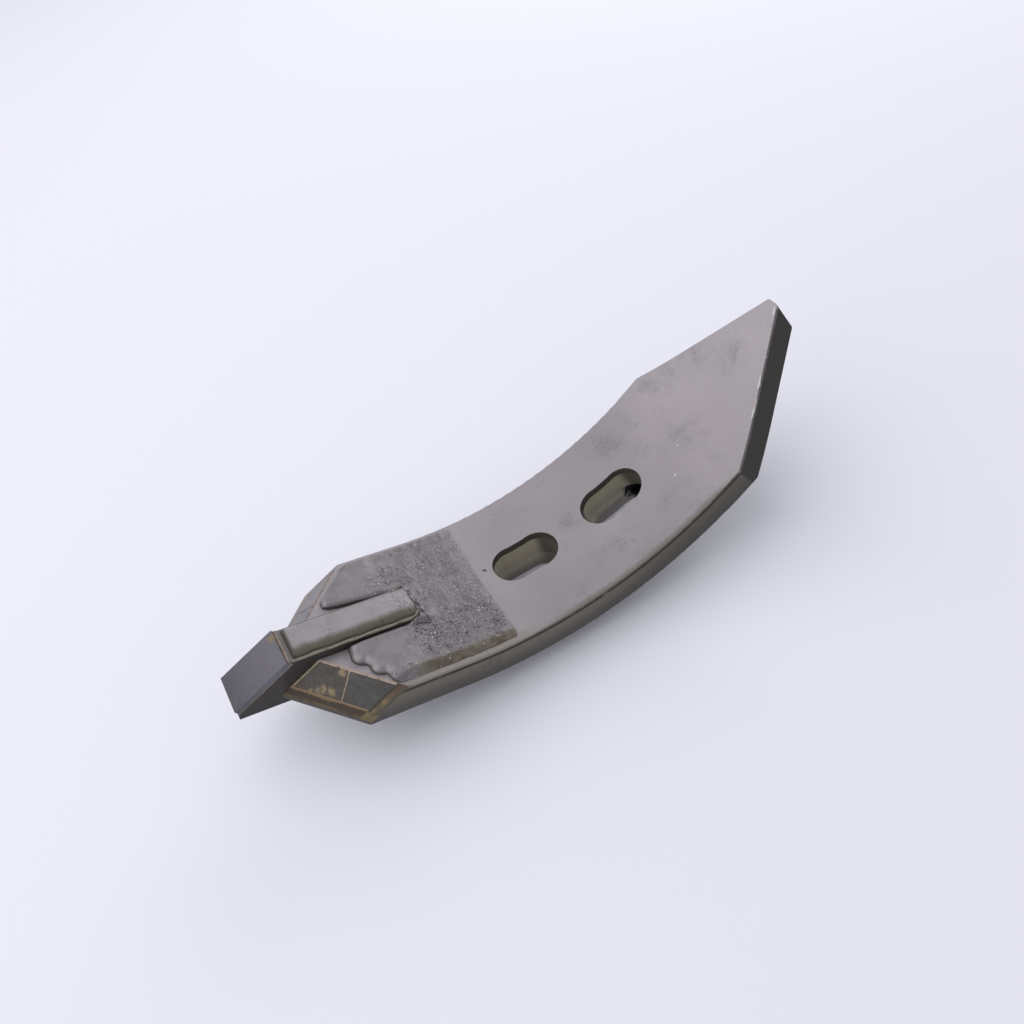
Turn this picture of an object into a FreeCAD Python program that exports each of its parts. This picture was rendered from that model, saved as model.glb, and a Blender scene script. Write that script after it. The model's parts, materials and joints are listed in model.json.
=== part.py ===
import FreeCAD, Part
import math
import os
import re

import Sketcher

# Cultivator share: a bent flat bar with a chisel point at the lower end and a V at the upper end,
# a square nose bar let into the point, carbide tiles, weld deposits and a slotted rib on the back.
# Working frame of the share: X runs along the straight lower part towards the bend, Y to the left,
# Z out of the hollow front face, and the origin is where the bend starts on that face.
# At the end every piece is turned and moved together, so that the share lies on its rounded back.

SIZES = {
    # bent plate
    "plate_width": 80.0,
    "plate_thick": 16.0,
    "edge_round": 0.8,
    "bend_radius": 169.0,
    "bend_angle": 58.0,
    # chisel point at the lower end
    "point_length": 48.3,
    "point_sweep": 43.0,
    "cutting_edge": 2.0,
    "bevel_angle": 47.4,
    # V at the upper end
    "upper_length": 147.2,
    "upper_taper": 67.0,
    "tip_width": 5.6,
    "tip_slant": 4.6,
    "tip_round": 1.5,
    # bolt slots, each with two round eyes in its front layer
    "slot_first": 48.3,
    "slot_pitch": 50.3,
    "slot_length": 33.5,
    "slot_width": 19.9,
    "eye_diameter": 20.4,
    "eye_depth": 4.0,
    "slot_relief": 0.4,
    # nose bar
    "bar_width": 20.0,
    "bar_height": 25.0,
    "bar_rise": 4.4,
    "bar_tail": 12.0,
    "bar_round": 1.2,
    "nose_reach": 95.5,
    "nose_angle": 38.0,
    "nose_lip": 3.8,
    "nose_seat": 32.1,
    "nose_tile_length": 30.8,
    "nose_tile_thick": 3.0,
    # shoulder tiles on the bevels
    "tile_thick": 3.0,
    "tile_foot": 4.7,
    "tile_head": 17.9,
    "tile_side": 3.8,
    "tile_joint": 15.0,
    "tile_proud": 0.35,
    # brazed joints
    "braze_bed": 0.3,
    "braze_line": 0.8,
    "braze_proud": 0.15,
    # rib on the back
    "rib_width": 40.0,
    "rib_thick": 7.3,
    "rib_swell": 10.0,
    "rib_length": 131.0,
    "rib_round": 2.0,
    "rib_slot_gap": 0.9,
    "relief_diameter": 25.0,
    "relief_shift": 13.2,
    "relief_depth": 10.0,
    "rib_weld_leg": 5.0,
    # weld deposits on the front
    "deposit_gap": 0.6,
    "leg_height": 3.8,
    "leg_corner": 3.5,
    "right_leg_nose": 10.7,
    "right_leg_setback": 3.4,
    "left_leg_nose": 5.6,
    "left_leg_setback": 1.8,
    "deposit_round": 1.4,
    "band_height": 2.0,
    "band_length": 23.0,
    "bare_strip": 4.0,
    "bead_height": 2.4,
    "bead_width": 16.5,
    "bead_front": 70.0,
    "mound_width": 24.0,
    "mound_length": 22.0,
    "mound_toe": 0.8,
}

doc = FreeCAD.newDocument("cultivator_share")
sheet = doc.addObject("Spreadsheet::Sheet", "Sizes")
for row, (alias, number) in enumerate(SIZES.items(), start=1):
    sheet.set("A%d" % row, alias)
    sheet.set("B%d" % row, str(number))
    sheet.setAlias("B%d" % row, alias)
doc.recompute()

FAR = "(5 * plate_width)"       # a cutting outline reaches this far, well past the share
ALIAS = re.compile(r"\b(" + "|".join(sorted(SIZES, key=len, reverse=True)) + r")\b")


def bound(formula):
    """Give the expression text in which every size name points at its cell."""
    return ALIAS.sub(r"Sizes.\1", str(formula))


def value(formula):
    """Work a formula out to a plain number."""
    return float(sheet.evalExpression(bound(formula)))


def body(name):
    """Add an empty body under the name of its piece."""
    return doc.addObject("PartDesign::Body", name)


def sketch(owner, name, plane, offset=("0", "0", "0"), turn="0", axis=(0, 1, 0)):
    """Add a sketch on an origin plane of its body, moved and turned by formulas about a local axis."""
    made = owner.newObject("Sketcher::SketchObject", name)
    support = [item for item in owner.Origin.OriginFeatures if item.Role == plane + "_Plane"]
    made.AttachmentSupport = [(support[0], "")]
    made.MapMode = "FlatFace"
    made.AttachmentOffset = FreeCAD.Placement(
        FreeCAD.Vector(*[value(term) for term in offset]),
        FreeCAD.Rotation(FreeCAD.Vector(*axis), value(turn)))
    for letter, term in zip("xyz", offset):
        made.setExpression(".AttachmentOffset.Base." + letter, bound(term))
    if value(turn):
        made.setExpression(".AttachmentOffset.Rotation.Angle", bound(turn))
    doc.recompute()
    return made


def outline(made, points):
    """Draw a closed outline: each entry is (x, y), or (x, y, radius, cx, cy) where an arc ends there."""
    count = len(points)
    places = [(value(point[0]), value(point[1])) for point in points]
    first = len(made.Geometry)
    ends = []
    for index, point in enumerate(points):
        start, stop = places[index - 1], places[index]
        if len(point) == 2:
            made.addGeometry(Part.LineSegment(FreeCAD.Vector(*start, 0), FreeCAD.Vector(*stop, 0)))
            ends.append((1, 2))
            continue
        radius, centre = value(point[2]), (value(point[3]), value(point[4]))
        sweep = [math.atan2(end[1] - centre[1], end[0] - centre[0]) for end in (start, stop)]
        forward = (sweep[1] - sweep[0]) % (2 * math.pi) < math.pi
        circle = Part.Circle(FreeCAD.Vector(*centre, 0), FreeCAD.Vector(0, 0, 1), radius)
        arc = (sweep[0], sweep[1]) if forward else (sweep[1], sweep[0])
        made.addGeometry(Part.ArcOfCircle(circle, *arc))
        ends.append((1, 2) if forward else (2, 1))
    for index, point in enumerate(points):
        here, following = first + index, first + (index + 1) % count
        made.addConstraint(Sketcher.Constraint(
            "Coincident", here, ends[index][1], following, ends[(index + 1) % count][0]))
        for kind, term, place in zip(("DistanceX", "DistanceY"), point[:2], places[index]):
            number = made.addConstraint(Sketcher.Constraint(kind, -1, 1, here, ends[index][1], place))
            made.setExpression("Constraints[%d]" % number, bound(term))
        if len(point) > 2:
            number = made.addConstraint(Sketcher.Constraint("Radius", here, value(point[2])))
            made.setExpression("Constraints[%d]" % number, bound(point[2]))
    return made


def circle(made, centre, diameter):
    """Draw a circle on the local X axis of a sketch, with its centre and diameter bound."""
    here = made.addGeometry(Part.Circle(
        FreeCAD.Vector(value(centre), 0, 0), FreeCAD.Vector(0, 0, 1), value(diameter) / 2))
    number = made.addConstraint(Sketcher.Constraint("DistanceX", -1, 1, here, 3, value(centre)))
    made.setExpression("Constraints[%d]" % number, bound(centre))
    made.addConstraint(Sketcher.Constraint("PointOnObject", here, 3, -1))
    number = made.addConstraint(Sketcher.Constraint("Diameter", here, value(diameter)))
    made.setExpression("Constraints[%d]" % number, bound(diameter))
    return made


def pad(owner, profile, length, both=True, reverse=False):
    """Extrude a sketch by a bound length, to both sides or to one."""
    made = owner.newObject("PartDesign::Pad", profile.Name + "_pad")
    made.Profile = profile
    made.SideType = "Symmetric" if both else "One side"
    made.Reversed = reverse
    made.setExpression("Length", bound(length))
    doc.recompute()
    return made


def pocket(owner, profile, length=None, reverse=False):
    """Cut a sketch right through, or to one side by a bound length, and see that it cut something."""
    before = owner.Tip.Shape.Volume
    made = owner.newObject("PartDesign::Pocket", profile.Name + "_cut")
    made.Profile = profile
    if length is None:
        made.SideType = "Symmetric"
        made.setExpression("Length", bound(f"2 * {FAR}"))
    else:
        made.SideType = "One side"
        made.Reversed = reverse
        made.setExpression("Length", bound(length))
    doc.recompute()
    if not made.Shape.Volume < before - 0.01:
        raise RuntimeError(made.Name + " cuts nothing")
    return made


def round_edges(owner, radius, wanted):
    """Round those edges of the latest feature for which the test on the edge holds."""
    tip = owner.Tip
    names = ["Edge%d" % (index + 1) for index, edge in enumerate(tip.Shape.Edges) if wanted(edge)]
    made = owner.newObject("PartDesign::Fillet", tip.Name + "_round")
    made.Base = (tip, names)
    made.setExpression("Radius", bound(radius))
    doc.recompute()
    return made


def on_arc(angle, rise="0"):
    """Give the (x, z) formulas of a point above the bent face, at an angle round the bend."""
    return (f"(bend_radius - ({rise})) * sin({angle})",
            f"bend_radius - (bend_radius - ({rise})) * cos({angle})")


def arc_angle(distance):
    """Give the angle round the bend that lies a distance along the face from the start of the bend."""
    return f"(({distance}) / bend_radius * 180 / pi)"


def layer(low, high, start, angle, run_outs=None):
    """Give the side outline of a layer that follows the face between two heights, in turning order.

    The two run-outs say how far its low and its high side go on straight past the angle.
    """
    def bend(height, back):
        x, z = on_arc(angle, height)
        if back:
            return [("0", height, f"bend_radius - ({height})", "0", "bend_radius")]
        return [("0", height), (x, z, f"bend_radius - ({height})", "0", "bend_radius")]

    def past(height, run):
        x, z = on_arc(angle, height)
        return [(f"{x} + ({run}) * cos({angle})", f"{z} + ({run}) * sin({angle})")]

    points = [(start, low)] + bend(low, False)
    if run_outs:
        points += past(low, run_outs[0]) + past(high, run_outs[1])
    points += [on_arc(angle, high)] + bend(high, True) + [(start, high)]
    return points


def face_sketch(owner, name, angle, rise="0"):
    """Add a sketch that touches the bent face at an angle round the bend, X along the face."""
    x, z = on_arc(angle, rise)
    return sketch(owner, name, "XY", (x, "0", z), angle, (0, -1, 0))


def window(xs, ys):
    """Give the four corners of a rectangle from two X formulas and two Y formulas."""
    return [(xs[0], ys[0]), (xs[1], ys[0]), (xs[1], ys[1]), (xs[0], ys[1])]


# Slots and their places along the face
SLOT_ANGLES = [arc_angle("slot_first"), arc_angle("slot_first + slot_pitch")]
EYE_SHIFT = "(slot_length - eye_diameter) / 2"


def eye_outline():
    """Outline of a slot as two round eyes joined by a slightly narrower neck."""
    neck = f"({EYE_SHIFT} - sqrt((eye_diameter / 2)^2 - (slot_width / 2)^2))"
    end, half = "slot_length / 2", "slot_width / 2"
    right = ("eye_diameter / 2", EYE_SHIFT, "0")
    left = ("eye_diameter / 2", f"-({EYE_SHIFT})", "0")
    return [(neck, f"-{half}"), (end, "0", *right), (neck, half, *right),
            (f"-{neck}", half), (f"-({end})", "0", *left), (f"-{neck}", f"-{half}", *left)]


def round_slot(length, width):
    """Outline of a plain slot with round ends."""
    run, half = f"(({length}) - ({width})) / 2", f"({width}) / 2"
    tip = f"({length}) / 2"
    return [(run, f"-{half}"), (tip, "0", half, run, "0"), (run, half, half, run, "0"),
            (f"-({run})", half), (f"-({tip})", "0", half, f"-({run})", "0"),
            (f"-({run})", f"-{half}", half, f"-({run})", "0")]


# Chisel bevel and tile places, in a section square to the swept edge of the point:
# X runs from that edge into the plate, Y out of the front face.
BEVEL_DROP = "(plate_thick - cutting_edge)"


def slope_point(up, inward="0"):
    """Give the section point that lies a distance up the bevel and a distance under it."""
    return (f"({up}) * cos(bevel_angle) + ({inward}) * sin(bevel_angle)",
            f"-{BEVEL_DROP} + ({up}) * sin(bevel_angle) - ({inward}) * cos(bevel_angle)")


def edge_sketch(owner, name, side, along):
    """Add a sketch square to the swept edge; side is 1 on the right and -1 on the left."""
    offset = (f"-point_length - ({along}) * sin(point_sweep)", "0",
              f"{side} * (plate_width / 2 - ({along}) * cos(point_sweep))")
    return sketch(owner, name, "XZ", offset, "point_sweep", (0, side, 0))


def slope_slab(foot, head, inward, proud):
    """Give the section of a slab that lies in the bevel between two heights up the slope."""
    return [slope_point(foot, f"-({proud})"), slope_point(head, f"-({proud})"),
            slope_point(head, inward), slope_point(foot, inward)]


def trim_side(owner, name, side, edge, outward):
    """Cut a piece off along a line parallel to the share's axis, on its outer or inner side."""
    far = f"-{side} * {FAR}" if outward else f"{side} * {FAR}"
    lines = sorted([f"-{side} * ({edge})", far], key=value)
    profile = outline(sketch(owner, name, "XY"), window((f"-{FAR}", FAR), lines))
    return pocket(owner, profile)


def slope_piece(name, side, along, slab, limits, half=None):
    """Build a slab on one bevel, from a joint line inwards or outwards, or over the whole bevel."""
    piece = body(name)
    section = outline(edge_sketch(piece, name + "_section", side, along), slab)
    pad(piece, section, "2 * plate_width", both=half is None, reverse=(half == "inner") == (side == 1))
    for tag, outward in (("outer", True), ("inner", False)):
        if half in (None, tag):
            trim_side(piece, f"{name}_{tag}_trim", side, limits[0 if outward else 1], outward)
    return piece


def build_plate_blank():
    """Bend the flat bar, round its long edges and shape both ends, the slots and the bevels."""
    plate = body("plate_blank")
    flat_end = "upper_length + upper_taper - bend_radius * bend_angle * pi / 180"
    side = outline(sketch(plate, "plate_side", "XZ"),
                   layer("-plate_thick", "0", "-(point_length + plate_width)", "bend_angle",
                         (f"{flat_end} - tip_slant", flat_end)))
    pad(plate, side, "plate_width")
    half = value("plate_width") / 2

    def long_edge(edge):
        box = edge.BoundBox
        thin = max(box.XLength, box.ZLength) > value("plate_thick") * 1.5
        return thin and box.YLength < 0.01 and abs(abs(box.YMax) - half) < 0.01

    round_edges(plate, "edge_round", long_edge)

    taper = face_sketch(plate, "upper_taper_cut", "bend_angle")
    shoulder = f"({flat_end} - upper_taper)"
    peak = f"{shoulder} + upper_taper * plate_width / (plate_width - tip_width)"
    outline(taper, [
        (shoulder, f"-{FAR}"), (shoulder, "-plate_width / 2"), (peak, "0"),
        (shoulder, "plate_width / 2"), (shoulder, FAR), (FAR, FAR), (FAR, f"-{FAR}")])
    pocket(plate, taper)

    def tip_corner(edge):
        box, half_tip = edge.BoundBox, value("tip_width") / 2
        starts_there = abs(min(abs(box.YMin), abs(box.YMax)) - half_tip) < 0.01
        return starts_there and abs(box.Center.y) > half_tip and edge.Length < value("2 * plate_thick")

    round_edges(plate, "tip_round", tip_corner)

    point = sketch(plate, "point_cut", "XY")
    apex = "-point_length - plate_width / 2 * tan(point_sweep)"
    outline(point, [
        ("-point_length", f"-{FAR}"), ("-point_length", "-plate_width / 2"), (apex, "0"),
        ("-point_length", "plate_width / 2"), ("-point_length", FAR),
        (f"-{FAR}", FAR), (f"-{FAR}", f"-{FAR}")])
    pocket(plate, point)

    notch = sketch(plate, "bar_notch", "XY")
    outline(notch, window((f"-{FAR}", "-bar_tail"), ("-bar_width / 2", "bar_width / 2")))
    pocket(plate, notch)

    for side, name in ((1, "right"), (-1, "left")):
        low, high = slope_point("-plate_thick"), slope_point("2 * plate_thick")
        wedge = outline(edge_sketch(plate, name + "_bevel", side, "0"), [low, high, (low[0], high[1])])
        pocket(plate, wedge)

    for number, angle in enumerate(SLOT_ANGLES, start=1):
        eyes = outline(face_sketch(plate, f"slot_{number}_eyes", angle), eye_outline())
        pocket(plate, eyes)
        deep = face_sketch(plate, f"slot_{number}_deep", angle, "-2 * plate_thick")
        outline(deep, round_slot("slot_length + 2 * slot_relief", "eye_diameter + 2 * slot_relief"))
        pocket(plate, deep, "2 * plate_thick - eye_depth", reverse=True)
    return plate


def build_nose():
    """Build the nose bar with its sloped seat, the carbide tile on it and the braze between them."""
    def seat(along, lift="0"):
        """Point on the nose, a distance up its seat and a height above it."""
        return (f"-nose_reach + ({along}) * cos(nose_angle) - ({lift}) * sin(nose_angle)",
                f"bar_rise - bar_height + nose_lip + ({along}) * sin(nose_angle) + ({lift}) * cos(nose_angle)")

    base = "bar_rise - bar_height"
    shoulder_rise = f"(bar_rise - ({seat('nose_seat')[1]})) / cos(nose_angle)"
    bar = body("nose_bar")
    side = outline(sketch(bar, "bar_side", "XZ"), [
        ("-bar_tail", base), ("-bar_tail", "bar_rise"), seat("nose_seat", shoulder_rise),
        seat("nose_seat"), seat("0"), ("-nose_reach", base)])
    pad(bar, side, "bar_width")
    half, top, bottom = value("bar_width / 2"), value("bar_rise"), value(base)

    def bar_edge(edge):
        box = edge.BoundBox
        level = box.ZLength < 0.01 and min(abs(box.ZMax - top), abs(box.ZMax - bottom)) < 0.01
        return level and box.YLength < 0.01 and abs(abs(box.YMax) - half) < 0.01

    round_edges(bar, "bar_round", bar_edge)

    foot = "(nose_seat - braze_line - nose_tile_length)"
    head = "(nose_seat - braze_line)"
    tile = body("nose_tile")
    side = outline(sketch(tile, "nose_tile_side", "XZ"), [
        seat(foot, "braze_bed"), seat(head, "braze_bed"), seat(head, "braze_bed + nose_tile_thick"),
        seat(foot, "braze_bed + nose_tile_thick")])
    pad(tile, side, "bar_width")

    braze = body("nose_braze")
    side = outline(sketch(braze, "nose_braze_side", "XZ"), [
        seat(foot), seat("nose_seat"), seat("nose_seat", shoulder_rise), seat(head, shoulder_rise),
        seat(head, "braze_bed"), seat(foot, "braze_bed")])
    pad(braze, side, "bar_width")
    return [bar, tile, braze]


def build_shoulders(plate):
    """Set two carbide tiles into each bevel, in a bed of braze, and cut the seats out of the plate."""
    half_line = "braze_line / 2"
    tile_slab = slope_slab("tile_foot", "tile_head", "tile_thick - tile_proud", "tile_proud")
    bed_slab = slope_slab("tile_foot - braze_line", "tile_head + braze_line",
                          "tile_thick - tile_proud + braze_bed", "braze_proud")
    tile_limits = ("plate_width / 2 - tile_side", "bar_width / 2 + braze_line")
    bed_limits = ("plate_width / 2 - tile_side + braze_line", "bar_width / 2")
    pieces, beds = [], []
    for side, name in ((1, "right"), (-1, "left")):
        outer = slope_piece(f"{name}_outer_tile", side, f"tile_joint - {half_line}",
                            tile_slab, tile_limits, "outer")
        inner = slope_piece(f"{name}_inner_tile", side, f"tile_joint + {half_line}",
                            tile_slab, tile_limits, "inner")
        bed = slope_piece(f"{name}_bed", side, "tile_joint", bed_slab, bed_limits)
        rooms = doc.addObject("Part::MultiFuse", f"{name}_rooms")
        rooms.Shapes = [slope_piece(f"{name}_outer_room", side, f"tile_joint - {half_line}",
                                    tile_slab, tile_limits, "outer"),
                        slope_piece(f"{name}_inner_room", side, f"tile_joint + {half_line}",
                                    tile_slab, tile_limits, "inner")]
        braze = doc.addObject("Part::Cut", f"{name}_braze")
        braze.Base, braze.Tool = bed, rooms
        pieces += [outer, inner, braze]
        beds.append(bed)
    both = doc.addObject("Part::MultiFuse", "both_beds")
    both.Shapes = beds
    seated = doc.addObject("Part::Cut", "share_plate")
    seated.Base, seated.Tool = plate, both
    doc.recompute()
    return [seated] + pieces


def build_rib():
    """Build the slotted rib on the back of the bend and the welds along its two sides.

    The rib's back bends round a centre of its own, so the rib grows deeper towards its upper end.
    """
    rib = body("back_rib")
    end = arc_angle("rib_length")
    back = ("bend_radius + plate_thick + rib_thick", "rib_swell", "bend_radius")
    side = outline(sketch(rib, "rib_side", "XZ"), [
        ("-bar_tail", "-plate_thick"), ("0", "-plate_thick"),
        (*on_arc(end, "-plate_thick"), "bend_radius + plate_thick", "0", "bend_radius"),
        (f"rib_swell + ({back[0]}) * sin({end})", f"bend_radius - ({back[0]}) * cos({end})"),
        ("rib_swell", "-plate_thick - rib_thick", *back), ("-bar_tail", "-plate_thick - rib_thick")])
    pad(rib, side, "rib_width")
    half, outer = value("rib_width / 2"), value(back[0])
    centre = FreeCAD.Vector(value("rib_swell"), 0, value("bend_radius"))

    def back_edge(edge):
        box = edge.BoundBox
        middle = edge.valueAt((edge.FirstParameter + edge.LastParameter) / 2)
        depth = (middle - FreeCAD.Vector(0, middle.y, 0) - centre).Length
        straight = abs(middle.z - (centre.z - outer)) < 0.01 and middle.x < centre.x
        long = box.YLength < 0.01 and abs(abs(box.YMax) - half) < 0.01
        return long and (straight or abs(depth - outer) < 0.01)

    round_edges(rib, "rib_round", back_edge)
    for number, angle in enumerate(SLOT_ANGLES, start=1):
        slot = face_sketch(rib, f"rib_slot_{number}", angle)
        outline(slot, round_slot("slot_length + 2 * rib_slot_gap", "eye_diameter + 2 * rib_slot_gap"))
        pocket(rib, slot)
    relief = face_sketch(rib, "rib_relief", SLOT_ANGLES[1], "-plate_thick")
    pocket(rib, circle(relief, "relief_shift", "relief_diameter"), "relief_depth")

    welds = []
    for side, name in ((1, "right"), (-1, "left")):
        weld = body(f"{name}_rib_weld")
        root, toe = f"-{side} * rib_width / 2", f"-{side} * (rib_width / 2 + rib_weld_leg)"
        corner = [(root, "-plate_thick"), (root, "-plate_thick - rib_weld_leg"), (toe, "-plate_thick")]
        section = outline(sketch(weld, f"{name}_weld_section", "YZ"), corner)
        axis = section.addGeometry(Part.LineSegment(
            FreeCAD.Vector(0, value("bend_radius"), 0), FreeCAD.Vector(1, value("bend_radius"), 0)), True)
        section.addConstraint(Sketcher.Constraint("Horizontal", axis))
        number = section.addConstraint(Sketcher.Constraint("DistanceY", -1, 1, axis, 1, value("bend_radius")))
        section.setExpression("Constraints[%d]" % number, bound("bend_radius"))
        turned = weld.newObject("PartDesign::Revolution", f"{name}_weld_arc")
        turned.Profile = section
        turned.ReferenceAxis = (section, ["Axis0"])
        turned.setExpression("Angle", bound(end))
        turned.Reversed = True
        doc.recompute()
        pad(weld, section, "bar_tail", both=False, reverse=True)
        welds.append(weld)
    return [rib] + welds


def build_deposits():
    """Lay the wear deposits: a bead on the bar, a leg on each side of it and a band across the plate."""
    pieces = []

    bead = body("nose_bead")
    arc = "((bead_width / 2)^2 + bead_height^2) / (2 * bead_height)"
    section = sketch(bead, "bead_section", "YZ", ("0", "0", "-bar_tail"))
    centre = ("0", f"bar_rise + bead_height - {arc}")
    outline(section, [
        ("bead_width / 2", "bar_rise"), ("0", "bar_rise + bead_height", arc, *centre),
        ("-bead_width / 2", "bar_rise", arc, *centre)])
    pad(bead, section, "bead_front - bar_tail", both=False, reverse=True)
    pieces.append(bead)

    inner = "(bar_width / 2 + deposit_gap)"
    outer = "(plate_width / 2 - bare_strip)"
    middle = f"({inner} + {outer}) / 2"

    def brow(across, back):
        """X of the bevel's upper edge at a distance from the axis, moved back onto the face."""
        run = f"{BEVEL_DROP} / tan(bevel_angle) / cos(point_sweep)"
        return f"-point_length + {run} - (plate_width / 2 - {across}) * tan(point_sweep) + {back}"

    for side, name in ((-1, "right"), (1, "left")):
        nose, setback = f"{name}_leg_nose", f"{name}_leg_setback"
        places = [(brow(inner, nose), inner), (brow(middle, setback), middle),
                  (brow(outer, setback), outer), ("-bar_tail", outer), ("-bar_tail", inner)]
        leg = body(f"{name}_deposit")
        plan = outline(sketch(leg, f"{name}_deposit_plan", "XY"), [(x, f"{side} * {y}") for x, y in places])
        pad(leg, plan, "leg_height", both=False)
        joint = value("-bar_tail")

        def upright(edge):
            box = edge.BoundBox
            return box.ZLength > 1 and max(box.XLength, box.YLength) < 0.01 and box.XMax < joint - 0.01

        def crown(edge):
            box = edge.BoundBox
            return box.ZLength < 0.01 and box.ZMin > 1 and box.XMin < joint - 0.01

        round_edges(leg, "leg_corner", upright)
        round_edges(leg, "deposit_round", crown)
        pieces.append(leg)

    band = body("cross_deposit")
    side = outline(sketch(band, "band_side", "XZ"),
                   layer("0", "band_height", "-bar_tail", arc_angle("band_length")))
    pad(band, side, f"2 * ({outer})")
    mound_room = sketch(band, "mound_room", "XY")
    outline(mound_room, window(("-bar_tail", "mound_length - bar_tail"),
                               ("-mound_width / 2", "mound_width / 2")))
    pocket(band, mound_room)
    pieces.append(band)

    mound = body("bar_end_weld")
    side = outline(sketch(mound, "mound_side", "XZ"), [
        ("-bar_tail", "0"), ("0", "0"),
        (*on_arc(arc_angle("mound_length - bar_tail")), "bend_radius", "0", "bend_radius"),
        on_arc(arc_angle("mound_length - bar_tail"), "band_height + mound_toe"),
        ("-bar_tail", "bar_rise")])
    pad(mound, side, "mound_width")
    pieces.append(mound)
    return pieces


def check_document():
    """Stop at any object that failed to recompute."""
    doc.recompute()
    for item in doc.Objects:
        if {"Invalid", "Error"} & set(item.State):
            raise RuntimeError(item.Name + " failed: " + str(item.State))


def rest_placement(pieces):
    """Turn the share so that it balances on its rounded back, and set its box on the origin."""
    weight = sum(piece.Shape.Volume for piece in pieces)
    centre = sum((piece.Shape.CenterOfGravity * piece.Shape.Volume for piece in pieces),
                 FreeCAD.Vector()) * (1 / weight)
    lean = math.atan2(centre.x - value("rib_swell"), value("bend_radius") - centre.z)
    turn = FreeCAD.Rotation(FreeCAD.Vector(0, 1, 0), math.degrees(lean))
    whole = Part.Compound([piece.Shape for piece in pieces])
    whole.Placement = FreeCAD.Placement(FreeCAD.Vector(), turn)
    box = whole.optimalBoundingBox(False)
    return FreeCAD.Placement(FreeCAD.Vector(-box.Center.x, -box.Center.y, -box.ZMin), turn)


def main():
    plate = build_plate_blank()
    pieces = build_shoulders(plate) + build_nose() + build_rib() + build_deposits()
    check_document()
    placement = rest_placement(pieces)
    print("rest placement", placement)
    os.makedirs("parts", exist_ok=True)
    for piece in pieces:
        piece.Label = piece.Name
        piece.Placement = placement
    check_document()
    for piece in pieces:
        shape = piece.Shape
        if shape.isNull() or not shape.isValid() or len(shape.Solids) != 1:
            raise RuntimeError("%s is not one sound solid" % piece.Label)
        shape.exportStep("parts/%s.step" % piece.Label)
        print("%-20s %9.1f mm3" % (piece.Label, shape.Volume))


main()
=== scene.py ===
"""Dressed cultivator share: bent plate, nose bar, hard tiles, wear deposits and slotted back rib."""
import json
import logging
import math
from dataclasses import dataclass, field
from enum import Enum
from typing import Callable, Dict, Sequence, Tuple

import bpy
import numpy as np
from mathutils import Matrix, Vector, noise


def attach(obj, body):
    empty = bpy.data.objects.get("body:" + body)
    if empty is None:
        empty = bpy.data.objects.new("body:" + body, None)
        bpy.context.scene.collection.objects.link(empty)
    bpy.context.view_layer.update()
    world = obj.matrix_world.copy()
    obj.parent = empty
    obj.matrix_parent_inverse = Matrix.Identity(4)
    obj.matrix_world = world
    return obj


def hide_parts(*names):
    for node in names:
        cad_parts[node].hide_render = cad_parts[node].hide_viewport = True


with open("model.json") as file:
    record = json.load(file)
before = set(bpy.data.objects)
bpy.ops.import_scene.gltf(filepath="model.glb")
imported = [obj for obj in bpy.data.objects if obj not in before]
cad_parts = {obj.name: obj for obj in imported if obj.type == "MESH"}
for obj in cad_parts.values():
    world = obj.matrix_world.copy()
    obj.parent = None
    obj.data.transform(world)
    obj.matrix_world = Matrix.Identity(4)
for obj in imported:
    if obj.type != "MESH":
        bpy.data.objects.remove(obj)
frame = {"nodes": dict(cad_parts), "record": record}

LOG = logging.getLogger("share")
Colour = Tuple[float, float, float]
Point = Tuple[float, float, float]
Marks = Tuple[Tuple[float, float, float], ...]          # along, across and radius of each, in millimetres
Lines = Tuple[Tuple[float, float, float, float], ...]   # along and across of both ends of each
Corners = Tuple[Tuple[float, float], ...]               # along and across of each
Grid = np.ndarray
Field = Callable[[Grid, Grid], Grid]
Socket = bpy.types.NodeSocket
Here = Tuple[Socket, Socket]
MM = 0.001


def grey(level: float, warm: float = 0.0) -> Colour:
    """Give a grey of a linear level, warmed towards olive or cooled towards blue."""
    return (level * (1 + warm), level, level * (1 - 1.6 * warm))


def opened(colour: Colour) -> Tuple[float, float, float, float]:
    """Give the colour with a full alpha."""
    return (*colour, 1.0)


class Side(Enum):
    """The two sides of the share, seen from its hollow front with the point down."""

    RIGHT = -1
    LEFT = 1


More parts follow.
